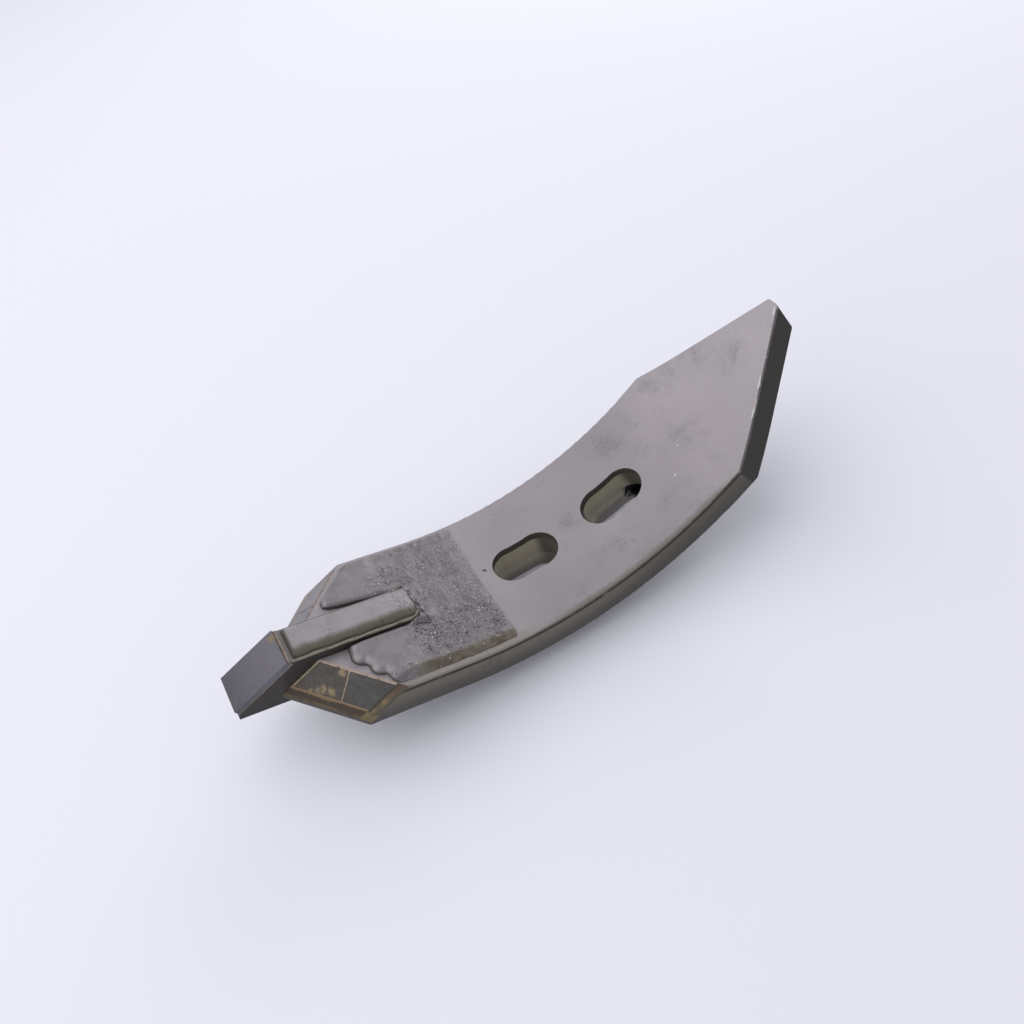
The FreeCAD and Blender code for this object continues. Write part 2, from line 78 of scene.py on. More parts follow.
@dataclass(frozen=True)
class ShareFrame:
    """Places along, across and above the bent face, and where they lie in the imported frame."""

    bend_radius: float = 169.0
    bend_angle: float = math.radians(58.0)
    seat: Point = (-1.0, 0.0, -23.3)
    tilt: float = 0.0
    shift: Tuple[float, float] = (0.0, 0.0)

    @classmethod
    def from_record(cls, record: dict) -> "ShareFrame":
        """Read the share's tilt and place from the flat seat on its rib.

        Args:
            record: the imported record.

        Returns:
            The frame of the bent face.
        """
        mount = next(item for item in record["mounts"] if item["name"] == "rib_seat")
        tilt = math.atan2(-mount["axis"][0], -mount["axis"][2])
        x, _, z = cls.seat
        turned = (x * math.cos(tilt) + z * math.sin(tilt), -x * math.sin(tilt) + z * math.cos(tilt))
        shift = (mount["pos_m"][0] / MM - turned[0], mount["pos_m"][2] / MM - turned[1])
        return cls(tilt=tilt, shift=shift)

    def points(self, along: Grid, across: Grid, height: Grid) -> Grid:
        """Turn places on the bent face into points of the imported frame.

        Args:
            along: millimetres along the face from the start of the bend.
            across: millimetres to the left of the axis.
            height: millimetres above the face.

        Returns:
            Points in metres, one row each.
        """
        turn = np.clip(along / self.bend_radius, 0.0, self.bend_angle)
        rest = along - turn * self.bend_radius
        x = (self.bend_radius - height) * np.sin(turn) + rest * np.cos(turn)
        z = self.bend_radius - (self.bend_radius - height) * np.cos(turn) + rest * np.sin(turn)
        return self.plain(x, across, z)

    def plain(self, x: Grid, y: Grid, z: Grid) -> Grid:
        """Turn points of the working frame, in millimetres, into points in metres, one row each."""
        c, s = math.cos(self.tilt), math.sin(self.tilt)
        return np.stack([x * c + z * s + self.shift[0], y, -x * s + z * c + self.shift[1]], -1) * MM


# Shader graphs


class Graph:
    """A node tree with short calls for the nodes that the finishes use."""

    def __init__(self, tree: bpy.types.NodeTree) -> None:
        """Start with an empty tree and the point that is shaded."""
        self.tree = tree
        tree.nodes.clear()
        self.where = self.node("ShaderNodeTexCoord").outputs["Object"]

    def node(self, kind: str, **settings: object) -> bpy.types.Node:
        """Add a node and set its plain properties."""
        made = self.tree.nodes.new(kind)
        for key, setting in settings.items():
            setattr(made, key, setting)
        return made

    def feed(self, socket: Socket, source: object) -> None:
        """Link a socket to its source, or set it to a plain value."""
        if isinstance(source, Socket):
            self.tree.links.new(source, socket)
        elif isinstance(source, tuple) and len(source) == 3 and socket.type == "RGBA":
            socket.default_value = opened(source)
        else:
            socket.default_value = source

    def feed_all(self, made: bpy.types.Node, terms: Dict[str, object]) -> bpy.types.Node:
        """Feed the named inputs of a node and give it back."""
        for name, term in terms.items():
            self.feed(made.inputs[name], term)
        return made

    def math(self, operation: str, *terms: object, clamp: bool = False) -> Socket:
        """Work out one number from up to three terms."""
        made = self.node("ShaderNodeMath", operation=operation, use_clamp=clamp)
        for socket, term in zip(made.inputs, terms):
            self.feed(socket, term)
        return made.outputs[0]

    def fold(self, operation: str, terms: Sequence[object]) -> object:
        """Join any number of terms with one operation, from the first on."""
        whole = terms[0]
        for term in terms[1:]:
            whole = self.math(operation, whole, term)
        return whole

    def times(self, *terms: object) -> object:
        """Multiply the terms."""
        return self.fold("MULTIPLY", terms)

    def plus(self, *terms: object) -> object:
        """Add the terms."""
        return self.fold("ADD", terms)

    def total(self, *terms: object) -> object:
        """Give the largest of several masks."""
        return self.fold("MAXIMUM", terms)

    def minus(self, first: object, second: object) -> Socket:
        """Take the second term from the first."""
        return self.math("SUBTRACT", first, second)

    def vector(self, operation: str, *terms: object) -> Socket:
        """Work out one vector."""
        made = self.node("ShaderNodeVectorMath", operation=operation)
        for socket, term in zip(made.inputs, terms):
            self.feed(socket, term)
        return made.outputs["Vector"]

    def step(self, number: object, low: float, high: float) -> Socket:
        """Rise smoothly from 0 at low to 1 at high, or fall where high is under low."""
        made = self.node("ShaderNodeMapRange", interpolation_type="SMOOTHSTEP")
        first, last = (1.0, 0.0) if high < low else (0.0, 1.0)
        self.feed_all(made, {"Value": number, "From Min": min(low, high), "From Max": max(low, high),
                             "To Min": first, "To Max": last})
        return made.outputs["Result"]

    def band(self, number: object, low: float, high: float, soft: float) -> Socket:
        """Be 1 between two limits and 0 outside them, with soft ends."""
        return self.times(self.step(number, low - soft, low + soft), self.step(number, high + soft, high - soft))

    def mix(self, share: object, first: object, second: object) -> Socket:
        """Mix two colours by a share."""
        made = self.node("ShaderNodeMix", data_type="RGBA")
        for socket, term in zip((made.inputs["Factor"], made.inputs[6], made.inputs[7]), (share, first, second)):
            self.feed(socket, term)
        return made.outputs[2]

    def lay(self, under: object, over: object, mask: object, share: float) -> Socket:
        """Lay a colour over another where a mask is, at a share of its strength."""
        return self.mix(self.times(mask, share), under, over)

    def lit(self, colour: object, gain: object) -> Socket:
        """Brighten or darken a colour by a gain."""
        made = self.vector("SCALE", colour)
        self.feed(made.node.inputs["Scale"], gain)
        return made

    def noise(self, place: object, scale: float, detail: float = 3.0, rough: float = 0.55,
              warp: float = 0.0) -> Socket:
        """Give fractal noise between 0 and 1 at a place in metres."""
        terms = {"Vector": place, "Scale": scale, "Detail": detail, "Roughness": rough, "Distortion": warp}
        return self.feed_all(self.node("ShaderNodeTexNoise"), terms).outputs["Fac"]

    def cells(self, place: object, scale: float) -> Socket:
        """Give the distance to the nearest of scattered points, in cells."""
        return self.feed_all(self.node("ShaderNodeTexVoronoi"), {"Vector": place, "Scale": scale}).outputs["Distance"]

    def sway(self, wave: Socket, reach: float) -> Socket:
        """Turn a noise into a shift of up to half the reach either way."""
        return self.times(self.minus(wave, 0.5), reach)

    def waver(self, number: object, wave: Socket, reach: float) -> Socket:
        """Shift a number by a noise."""
        return self.plus(number, self.sway(wave, reach))

    def spot(self, here: Here, centre: Tuple[float, float], radius: float, soft: float) -> Socket:
        """Give a round soft spot at a place on the face."""
        dx, dy = (self.minus(place, middle) for place, middle in zip(here, centre))
        return self.step(self.far(dx, dy), radius + soft, radius - soft)

    def far(self, dx: Socket, dy: Socket) -> Socket:
        """Give the length of a run with two parts."""
        return self.math("SQRT", self.plus(self.times(dx, dx), self.times(dy, dy)))

    def spots(self, here: Here, marks: Marks, grow: float = 1.0, blur: float = 0.0, soft: float = 0.0) -> object:
        """Give several spots as one mask.

        Args:
            here: place along and across the face.
            marks: along, across and radius of each spot.
            grow: share of the radius that the spot takes.
            blur: share of the radius over which its rim fades.
            soft: millimetres that are added to that fading.

        Returns:
            The mask, or 0 where there are no spots.
        """
        made = [self.spot(here, (s, y), r * grow, r * blur + soft) for s, y, r in marks]
        return self.total(*made) if made else 0.0

    def streaks(self, here: Here, lines: Lines, half: float, soft: float) -> Socket:
        """Give soft straight lines between places on the face as one mask.

        Args:
            here: place along and across the face.
            lines: along and across of both ends of each line.
            half: half a line's width.
            soft: how far its rim fades.

        Returns:
            The mask.
        """
        made = []
        for s0, y0, s1, y1 in lines:
            ds, dy = s1 - s0, y1 - y0
            rs, ry = self.minus(here[0], s0), self.minus(here[1], y0)
            run = self.plus(self.times(rs, ds), self.times(ry, dy))
            share = self.math("DIVIDE", run, ds * ds + dy * dy, clamp=True)
            far = self.far(self.minus(rs, self.times(share, ds)), self.minus(ry, self.times(share, dy)))
            made.append(self.step(far, half + soft, half - soft))
        return self.total(*made)


class Group(Graph):
    """A shader group that several finishes share."""

    def __init__(self, name: str, takes: Dict[str, object], gives: Sequence[str]) -> None:
        """Make an empty group with named sockets.

        Args:
            name: the group's name.
            takes: default of each input, a number or a colour.
            gives: its outputs; the one called Colour is a colour and the others are numbers.
        """
        tree = bpy.data.node_groups.new(name, "ShaderNodeTree")
        for label, default in takes.items():
            kind = "NodeSocketColor" if isinstance(default, tuple) else "NodeSocketFloat"
            tree.interface.new_socket(label, in_out="INPUT", socket_type=kind).default_value = default
        for label in gives:
            kind = "NodeSocketColor" if label == "Colour" else "NodeSocketFloat"
            tree.interface.new_socket(label, in_out="OUTPUT", socket_type=kind)
        super().__init__(tree)
        self.took = self.node("NodeGroupInput").outputs

    def give(self, **results: Socket) -> bpy.types.NodeTree:
        """Feed the outputs and give the finished group."""
        self.feed_all(self.node("NodeGroupOutput"), results)
        return self.tree


class GroupBook:
    """The shader groups that more than one finish uses, each built once."""

    def __init__(self, share: ShareFrame) -> None:
        """Build every group for this share."""
        self.place = self._place(share)
        self.mottle = self._mottle()
        self.spatter = self._spatter()
        self.tint = self._tint()

    @staticmethod
    def _place(share: ShareFrame) -> bpy.types.NodeTree:
        """Build the group that tells where a shaded point lies on the bent face.

        Args:
            share: the frame of the bent face.

        Returns:
            A group with Along, Across and Height in millimetres, and Facing from -1 to 1.
        """
        g = Group("place_on_share", {}, ("Along", "Across", "Height", "Facing"))

        def unturned(source: Socket) -> Dict[str, Socket]:
            """Give the parts of a vector in the working frame."""
            turn = g.node("ShaderNodeVectorRotate", rotation_type="Y_AXIS")
            g.feed_all(turn, {"Vector": source, "Angle": -share.tilt})
            parts = g.node("ShaderNodeSeparateXYZ")
            g.feed(parts.inputs[0], turn.outputs[0])
            return {axis: parts.outputs[axis] for axis in "XYZ"}

        flat = unturned(g.vector("SUBTRACT", g.where, (share.shift[0] * MM, 0.0, share.shift[1] * MM)))
        x, y, z = (g.times(flat[axis], 1 / MM) for axis in "XYZ")
        rise = g.minus(share.bend_radius, z)
        turn = g.math("MINIMUM", g.math("MAXIMUM", g.math("ARCTAN2", x, rise), 0.0), share.bend_angle)
        sine, cosine = g.math("SINE", turn), g.math("COSINE", turn)
        dx = g.minus(x, g.times(sine, share.bend_radius))
        dz = g.minus(g.times(cosine, share.bend_radius), rise)
        along = g.plus(g.times(dx, cosine), g.times(dz, sine), g.times(turn, share.bend_radius))
        height = g.minus(g.times(dz, cosine), g.times(dx, sine))
        lean = unturned(g.node("ShaderNodeNewGeometry").outputs["Normal"])
        facing = g.minus(g.times(lean["Z"], cosine), g.times(lean["X"], sine))
        return g.give(Along=along, Across=y, Height=height, Facing=facing)

    @staticmethod
    def _mottle() -> bpy.types.NodeTree:
        """Build the group for rolled steel: fine grain, soft clouds and clusters of dark specks.

        Returns:
            A group with Colour, Relief and Dullness.
        """
        takes = {"Light": (0.3, 0.3, 0.3, 1), "Dark": (0.1, 0.1, 0.1, 1), "Clouds": 0.5, "Specks": 0.5}
        g = Group("rolled_mottle", takes, ("Colour", "Relief", "Dullness"))
        clouds, dark = g.took["Clouds"], g.took["Dark"]
        broad = g.noise(g.where, 22.0, 2.0, 0.5, 0.3)
        cloud = g.noise(g.where, 75.0, 4.0, 0.6, 0.4)
        grain = g.noise(g.where, 900.0, 3.0, 0.6)
        fine = g.noise(g.where, 2600.0, 2.0, 0.6)
        patches = g.times(g.step(cloud, 0.5, 0.66), g.step(broad, 0.4, 0.62))
        pepper = g.times(g.step(g.noise(g.where, 520.0, 4.0, 0.72), 0.53, 0.66), patches)
        wide = g.times(g.minus(broad, 0.5), g.times(clouds, 0.55))
        gain = g.plus(g.sway(fine, 0.16), g.sway(grain, 0.22), wide, 1.0)
        clouded = g.mix(g.times(patches, g.times(clouds, 0.22)), g.lit(g.took["Light"], gain), dark)
        speck = g.times(pepper, g.took["Specks"])
        return g.give(Colour=g.mix(speck, clouded, dark),
                      Relief=g.minus(g.times(grain, 0.5), g.times(pepper, 0.6)),
                      Dullness=g.plus(g.times(cloud, 0.5), g.times(speck, 0.3)))

    @staticmethod
    def _spatter() -> bpy.types.NodeTree:
        """Build the group for welded metal: small holes, bright crumbs and soft lumps.

        Returns:
            A group with Holes, Crumbs and Relief.
        """
        g = Group("weld_spatter", {"Density": 0.5}, ("Holes", "Crumbs", "Relief"))
        swirl = g.feed_all(g.node("ShaderNodeTexNoise"), {"Vector": g.where, "Scale": 160.0}).outputs["Color"]
        bend = g.vector("MULTIPLY", g.vector("SUBTRACT", swirl, (0.5, 0.5, 0.5)), (0.004, 0.004, 0.004))
        bent = g.vector("ADD", g.where, bend)
        amount = g.times(g.step(g.noise(g.where, 120.0, 3.0, 0.6), 0.34, 0.58), g.took["Density"])
        hole = g.times(g.step(g.cells(bent, 620.0), 0.34, 0.16), g.step(g.noise(g.where, 260.0), 0.46, 0.6))
        nick = g.times(g.step(g.noise(bent, 900.0, 3.0, 0.7), 0.56, 0.7), 0.8)
        holes = g.times(g.total(hole, nick), amount)
        crumb = g.step(g.cells(g.vector("ADD", bent, (0.013, 0.007, 0.004)), 640.0), 0.42, 0.2)
        crumbs = g.times(crumb, g.step(g.noise(g.where, 420.0), 0.46, 0.58), amount)
        lumpy = g.plus(g.times(g.noise(bent, 330.0, 3.0, 0.6), 0.8), crumbs)
        return g.give(Holes=holes, Crumbs=crumbs, Relief=g.minus(lumpy, holes))

    @staticmethod
    def _tint() -> bpy.types.NodeTree:
        """Build the group for heat tints: straw and brown patches laid over a colour.

        Returns:
            A group with Colour.
        """
        g = Group("heat_tint", {"Base": (0.2, 0.2, 0.2, 1), "Straw": 0.0, "Brown": 0.0}, ("Colour",))
        ragged = g.times(g.step(g.noise(g.where, 240.0, 4.0, 0.65, 0.6), 0.28, 0.56), 0.9)
        mottled = g.step(g.noise(g.where, 620.0, 3.0, 0.6), 0.36, 0.6)
        warm = g.mix(g.times(g.took["Straw"], ragged), g.took["Base"], (0.25, 0.195, 0.115))
        return g.give(Colour=g.mix(g.times(g.took["Brown"], mottled), warm, (0.115, 0.062, 0.04)))


class Material(Graph):
    """One steel material: its colour, roughness and bump are built up, then closed into the shader."""

    SLOT_HALF_LENGTH = 19.5
    SLOT_HALF_WIDTH = 12.5

    def __init__(self, name: str, groups: GroupBook) -> None:
        """Start the material and its place on the share."""
        self.made = bpy.data.materials.new(name)
        self.made.use_nodes = True
        super().__init__(self.made.node_tree)
        self.groups = groups
        place = self.group(groups.place)
        self.here = self.along, self.across = place["Along"], place["Across"]
        self.height, self.facing = place["Height"], place["Facing"]

    def group(self, tree: bpy.types.NodeTree, **terms: object) -> Dict[str, Socket]:
        """Place a shader group, feed its inputs and give its outputs by name."""
        made = self.feed_all(self.node("ShaderNodeGroup", node_tree=tree), terms)
        return {socket.name: socket for socket in made.outputs}

    def shaken(self, wave: Socket, reach: float) -> Here:
        """Give the place on the face, shifted by a noise."""
        shift = self.sway(wave, reach)
        return self.plus(self.along, shift), self.minus(self.across, shift)

    def slot_mask(self, places: Sequence[float]) -> Socket:
        """Mask the walls of the bolt slots.

        Args:
            places: the middle of each slot along the face.

        Returns:
            The mask.
        """
        half, side = self.SLOT_HALF_LENGTH, self.SLOT_HALF_WIDTH
        near = self.total(*[self.band(self.along, s - half, s + half, 0.4) for s in places])
        return self.times(near, self.band(self.across, -side, side, 0.4), self.step(self.facing, 0.6, 0.3))

    def slot_ends(self, places: Sequence[float]) -> Socket:
        """Mask the two ends of each bolt slot, where painted shade makes them darker than its long walls.

        Args:
            places: the middle of each slot along the face.

        Returns:
            The mask.
        """
        high = [self.band(self.along, s + 10.5, s + 22.0, 2.5) for s in places]
        low = [self.band(self.along, s - 22.0, s - 14.8, 1.5) for s in places]
        return self.total(*high, *low)

    def close(self, colour: object, rough: object, metal: float, relief: object,
              depth: float) -> bpy.types.Material:
        """Finish the material.

        Args:
            colour: base colour.
            rough: roughness.
            metal: how metallic it is, the same all over.
            relief: height for the bump, from 0 to about 1.
            depth: depth of that relief in metres.

        Returns:
            The finished material.
        """
        bump = self.node("ShaderNodeBump")
        bump.inputs["Distance"].default_value = depth
        self.feed(bump.inputs["Height"], relief)
        shader = self.node("ShaderNodeBsdfPrincipled")
        shader.inputs["Metallic"].default_value = metal
        self.feed_all(shader, {"Base Color": colour, "Roughness": rough, "Normal": bump.outputs["Normal"]})
        self.feed(self.node("ShaderNodeOutputMaterial").inputs["Surface"], shader.outputs[0])
        return self.made


# Finishes


@dataclass(frozen=True)
class PlateFinish:
    """Rolled face, dark rolled edges, slot walls and heat-tinted bevel borders of the bent plate."""

    face: Colour = (0.318, 0.288, 0.305)
    specks: Colour = (0.075, 0.07, 0.075)
    chip: Colour = (0.8, 0.79, 0.77)
    hole: Colour = (0.02, 0.02, 0.02)
    rim: Colour = (0.26, 0.24, 0.2)
    rim_dark: Colour = (0.12, 0.108, 0.075)
    strip: Colour = (0.235, 0.205, 0.17)
    edge: Colour = (0.176, 0.161, 0.129)
    edge_grain: Colour = (0.17, 0.155, 0.125)
    edge_low: Colour = (0.088, 0.082, 0.074)
    edge_far: Colour = (0.062, 0.056, 0.045)
    taper_edge: Colour = (0.04, 0.036, 0.029)
    taper_grain: Colour = (0.07, 0.063, 0.052)
    taper_lip: Colour = (0.17, 0.162, 0.15)
    taper_lip_dark: Colour = (0.1, 0.095, 0.085)
    taper_bright: Colour = (0.7, 0.67, 0.62)
    back: Colour = (0.17, 0.163, 0.152)
    seam: Colour = (0.026, 0.021, 0.016)
    # Slot colours: slot_lip is the dark front layer and also the painted shade on the slot ends; slot_wall is made
    # pale to stand in for bounce light; slot_low is painted shade deeper in the slot.
    slot_lip: Colour = (0.085, 0.072, 0.06)
    slot_wall: Colour = (0.6, 0.56, 0.44)
    slot_low: Colour = (0.4, 0.37, 0.32)
    clouds: Marks = (
        (114.1, 24.6, 9.0), (184.5, 1.1, 8.0), (144.4, -4.4, 9.0), (75.1, 3.5, 6.0), (149.4, 29.6, 6.0),
        (174.6, 20.2, 8.0), (85.1, -23.6, 6.0), (115.9, -23.8, 5.0), (124.5, 9.2, 5.0), (160.5, 26.6, 5.0))
    chips: Lines = (
        (137.3, -5.8, 137.8, -5.6), (126.7, -16.2, 127.2, -15.9), (180.6, -20.9, 185.0, -18.5),
        (169.2, -27.4, 172.2, -25.7), (209.6, -4.2, 212.4, -2.6))
    pit: Tuple[float, float] = (28.3, 4.1)
    scratch: Lines = ((29.4, 3.3, 31.6, 2.2),)
    slots: Tuple[float, float] = (48.3, 98.6)
    shoulder: float = 147.2
    half_width: float = 40.0

    def build(self, groups: GroupBook) -> bpy.types.Material:
        """Build the material of the plate."""
        g = Material("plate_steel", groups)
        ragged = g.noise(g.where, 110.0, 4.0, 0.65, 0.5)
        grain = g.noise(g.where, 700.0, 3.0, 0.6)
        face, pepper, pit, dull = self.hollow_face(g, ragged)
        colour = g.mix(g.step(g.facing, 0.5, 0.9), self.sides(g, ragged, grain), face)
        back = g.group(groups.mottle, Light=self.back, Dark=self.edge_low, Clouds=0.7, Specks=0.6)
        colour = g.mix(g.step(g.facing, -0.6, -0.85), colour, back["Colour"])
        for mask, over in (self.slot_walls(g, ragged), BevelBorder().dress(g, ragged, grain)):
            colour = g.mix(mask, colour, over)
        relief = g.minus(g.times(grain, 0.5), g.plus(g.times(pit, 2.0), g.times(pepper, 0.5)))
        rough = g.plus(g.times(dull, 0.28), 0.42, g.times(g.step(g.facing, 0.5, 0.2), 0.2))
        return g.close(colour, rough, 0.35, relief, 0.00012)

    def hollow_face(self, g: Material, ragged: Socket) -> Tuple[Socket, ...]:
        """Colour the rolled face: soft clouds, clusters of dark specks, a few bright chips and one pit, with painted
        light that brightens both ends of the bend and painted shade towards the right edge.

        Args:
            g: the plate's material.
            ragged: a noise that wavers the borders.

        Returns:
            Colour, speck mask, pit mask and dullness.
        """
        base = g.group(g.groups.mottle, Light=self.face, Dark=self.specks, Clouds=0.5, Specks=0.3)
        clouds = g.spots(g.shaken(ragged, 22.0), self.clouds, 0.6, blur=0.85)
        patchy = g.step(g.noise(g.where, 170.0, 4.0, 0.65), 0.4, 0.6)
        fine = g.step(g.noise(g.where, 1250.0, 3.0, 0.7), 0.44, 0.6)
        coarse = g.step(g.noise(g.where, 560.0, 4.0, 0.7), 0.48, 0.6)
        pepper = g.times(clouds, patchy, g.plus(g.times(fine, 0.55), g.times(coarse, 0.45)))
        # Painted light: the face is brightened towards both ends of the bend, most at the upper end, and darkened
        # towards its right edge, for how the light falls on it.
        lower = g.times(g.step(g.along, 52.0, 26.0), 0.11)
        upper = g.times(g.step(g.along, 108.0, 175.0), 0.31)
        gain = g.minus(g.plus(lower, upper, 0.94), g.times(g.step(g.across, -8.0, -38.0), 0.09))
        shade = g.plus(g.times(clouds, 0.1), g.times(pepper, 0.6))
        face = g.mix(shade, g.lit(base["Colour"], gain), self.specks)
        face = g.lay(face, self.specks, g.step(g.cells(g.where, 210.0), 0.1, 0.05), 0.3)
        face = g.lay(face, self.chip, g.streaks(g.here, self.chips, 0.2, 0.35), 0.85)
        from_edge = g.plus(g.across, self.half_width)
        ragged_edge = g.plus(from_edge, g.times(g.sway(ragged, 22.0), 0.12))
        run = g.times(g.step(g.along, 26.0, 60.0), g.step(g.along, self.shoulder, 132.0))
        face = g.lay(face, self.rim_dark, g.times(g.step(ragged_edge, 3.4, 0.9), run), 0.6)
        strip = g.times(g.step(from_edge, 5.5, 3.2), g.step(g.along, 40.0, 22.0))
        face = g.lay(face, self.strip, strip, 0.6)
        along, across = self.pit
        pit = g.total(g.spot(g.here, self.pit, 0.75, 0.35), g.spot(g.here, (along - 0.9, across + 0.7), 0.3, 0.3),
                      g.times(g.streaks(g.here, self.scratch, 0.15, 0.3), 0.45))
        return g.lay(face, self.hole, pit, 0.92), pepper, pit, base["Dullness"]

    def sides(self, g: Material, ragged: Socket, grain: Socket) -> Socket:
        """Colour the long sides and the tapered sides, each with its lip under the face.

        Args:
            g: the plate's material.
            ragged: a noise that wavers the borders.
            grain: a fine noise.

        Returns:
            The colour.
        """
        side = g.mix(g.step(g.height, -3.5, -14.0), self.edge, self.edge_low)
        side = g.lay(side, self.edge_grain, g.step(grain, 0.42, 0.7), 0.3)
        side = g.lay(side, self.edge_low, g.step(ragged, 0.55, 0.68), 0.45)
        side = g.lay(side, self.edge_far, g.step(g.along, 45.0, 115.0), 0.55)
        line = g.times(g.band(g.height, -2.7, -1.0, 0.45), g.step(ragged, 0.22, 0.4))
        side = g.lay(side, self.seam, line, 0.9)
        front = g.times(g.step(g.along, 38.0, 14.0), g.step(g.across, 0.0, -30.0))
        side = g.mix(g.step(g.height, -1.1, -0.5), side, g.mix(front, self.rim_dark, self.rim))
        lip = g.lay(self.taper_lip, self.taper_lip_dark, g.step(grain, 0.45, 0.65), 0.5)
        worn = g.step(g.noise(g.where, 210.0, 2.0), 0.58, 0.64)
        lip = g.mix(g.times(g.step(g.height, -0.8, -0.3), worn, g.step(g.across, 4.0, -4.0)), lip, self.taper_bright)
        taper = g.lay(self.taper_edge, self.taper_grain, g.step(grain, 0.4, 0.7), 0.25)
        taper = g.mix(g.step(g.waver(g.height, ragged, 1.4), -2.1, -1.4), taper, lip)
        return g.mix(g.step(g.along, self.shoulder - 1.0, self.shoulder + 0.4), side, taper)

    def slot_walls(self, g: Material, ragged: Socket) -> Here:
        """Colour the walls of the slots: a dark front layer over a wall made pale as painted bounce light, with
        painted shade deeper down and on the slot ends.

        Args:
            g: the plate's material.
            ragged: a noise that wavers the borders.

        Returns:
            Mask and colour.
        """
        # Painted light: the wall is made pale to stand in for bounce light, with painted shade deeper down and on the
        # slot ends.
        pale = g.lay(self.slot_wall, self.slot_low, g.step(g.height, -9.0, -15.5), 0.3)
        pale = g.lay(pale, self.slot_lip, g.slot_ends(self.slots), 0.88)
        front = g.step(g.waver(g.height, ragged, 1.2), -4.6, -4.0)
        return g.slot_mask(self.slots), g.mix(front, pale, self.slot_lip)


@dataclass(frozen=True)
class BevelBorder:
    """Steel round the shoulder tiles: ochre at the side, brown to black at the foot."""

    foot: Colour = (0.17, 0.11, 0.06)
    foot_dark: Colour = (0.05, 0.034, 0.024)
    foot_line: Colour = (0.17, 0.115, 0.06)
    ochre: Colour = (0.21, 0.158, 0.07)
    ochre_dark: Colour = (0.1, 0.08, 0.045)
    ochre_grain: Colour = (0.14, 0.085, 0.045)
    side_top: Colour = (0.095, 0.055, 0.036)
    side_rim: Colour = (0.075, 0.066, 0.048)
    left: Colour = (0.36, 0.29, 0.25)
    left_dark: Colour = (0.27, 0.245, 0.25)
    top: Colour = (0.4, 0.3, 0.25)
    top_dark: Colour = (0.27, 0.2, 0.16)

    def dress(self, g: Material, ragged: Socket, grain: Socket) -> Here:
        """Colour the borders.

        Args:
            g: the plate's material.
            ragged: a noise that wavers the borders.
            grain: a fine noise.

        Returns:
            Mask and colour.
        """
        mask = g.times(g.band(g.facing, 0.5, 0.86, 0.05), g.step(g.along, -28.0, -31.0))
        wave = g.waver(g.height, ragged, 3.0)
        foot = g.mix(g.step(wave, -11.0, -11.8), self.foot, self.foot_dark)
        low = g.times(g.band(g.height, -13.9, -13.2, 0.35), g.step(ragged, 0.3, 0.6))
        foot = g.lay(foot, self.foot_line, low, 0.65)
        ochre = g.mix(g.step(ragged, 0.42, 0.58), self.ochre, self.ochre_dark)
        ochre = g.lay(ochre, self.ochre_grain, g.step(grain, 0.44, 0.62), 0.5)
        side = g.mix(g.step(wave, -5.5, -1.5), ochre, self.side_top)
        span = g.waver(g.math("ABSOLUTE", g.across), ragged, 2.2)
        side = g.mix(g.times(g.step(span, 37.9, 39.1), g.step(wave, -12.4, -10.5)), side, self.side_rim)
        outer = g.step(span, 35.6, 36.4)
        whole = g.mix(outer, foot, side)
        left = g.mix(g.step(ragged, 0.4, 0.6), self.left, self.left_dark)
        whole = g.lay(whole, left, g.step(g.across, -1.0, 1.0), 0.75)
        top = g.mix(g.step(grain, 0.42, 0.66), self.top, self.top_dark)
        return mask, g.mix(g.times(g.step(wave, -2.2, -1.0), g.step(outer, 0.6, 0.4)), whole, top)


@dataclass(frozen=True)
class BarFinish:
    """Dark rolled bar, painted nearly black as shade where the bevel meets it."""

    side: Colour = (0.05, 0.044, 0.036)
    # dark gives the bar's dark specks, and also the painted shade where the bevel meets the bar.
    dark: Colour = (0.011, 0.009, 0.008)
    low: Colour = (0.03, 0.031, 0.04)
    top: Colour = (0.17, 0.16, 0.15)

    def build(self, groups: GroupBook) -> bpy.types.Material:
        """Build the material of the nose bar."""
        g = Material("bar_steel", groups)
        base = g.group(groups.mottle, Light=self.side, Dark=self.dark, Clouds=0.8, Specks=0.4)
        # Painted shade where the bevel meets the bar.
        near = g.times(g.step(g.along, -70.0, -58.0), g.step(g.height, 3.0, -8.0))
        colour = g.lay(base["Colour"], self.dark, near, 0.7)
        colour = g.mix(g.step(g.facing, 0.6, 0.9), colour, self.top)
        colour = g.lay(colour, self.low, g.step(g.height, -13.0, -20.0), 0.6)
        rough = g.plus(g.times(base["Dullness"], 0.3), 0.45)
        return g.close(colour, rough, 0.4, base["Relief"], 0.00012)


@dataclass(frozen=True)
class TileFinish:
    """Hard tile: cool slate with fine streaks, soft clouds and heat tints in set places."""

    name: str
    face: Colour
    streak: Colour
    blotches: Marks = ()
    stains: Marks = ()
    lift: float = 0.0
    lift_span: Tuple[float, float] = (-22.0, 4.0)
    sheen: float = 0.32

    def build(self, groups: GroupBook) -> bpy.types.Material:
        """Build the material of a tile."""
        g = Material(self.name, groups)
        streaks = g.noise(g.vector("MULTIPLY", g.where, (1.0, 1.0, 0.14)), 900.0, 4.0, 0.6)
        cloud = g.noise(g.where, 90.0, 3.0, 0.6, 0.3)
        colour = g.mix(g.step(streaks, 0.35, 0.7), self.face, self.streak)
        colour = g.lay(colour, grey(0.13, -0.03), g.step(cloud, 0.45, 0.7), 0.3)
        gain = g.plus(g.times(g.step(g.height, *self.lift_span), self.lift), 1.0 - self.lift / 3)
        near = g.shaken(g.noise(g.where, 230.0, 3.0, 0.6), 5.0)
        straw, brown = (g.spots(near, marks, 0.75, blur=0.4) for marks in (self.blotches, self.stains))
        tinted = g.group(groups.tint, Base=g.lit(colour, gain), Straw=straw, Brown=brown)
        return g.close(tinted["Colour"], g.plus(g.times(cloud, 0.18), self.sheen), 0.55, streaks, 0.00004)


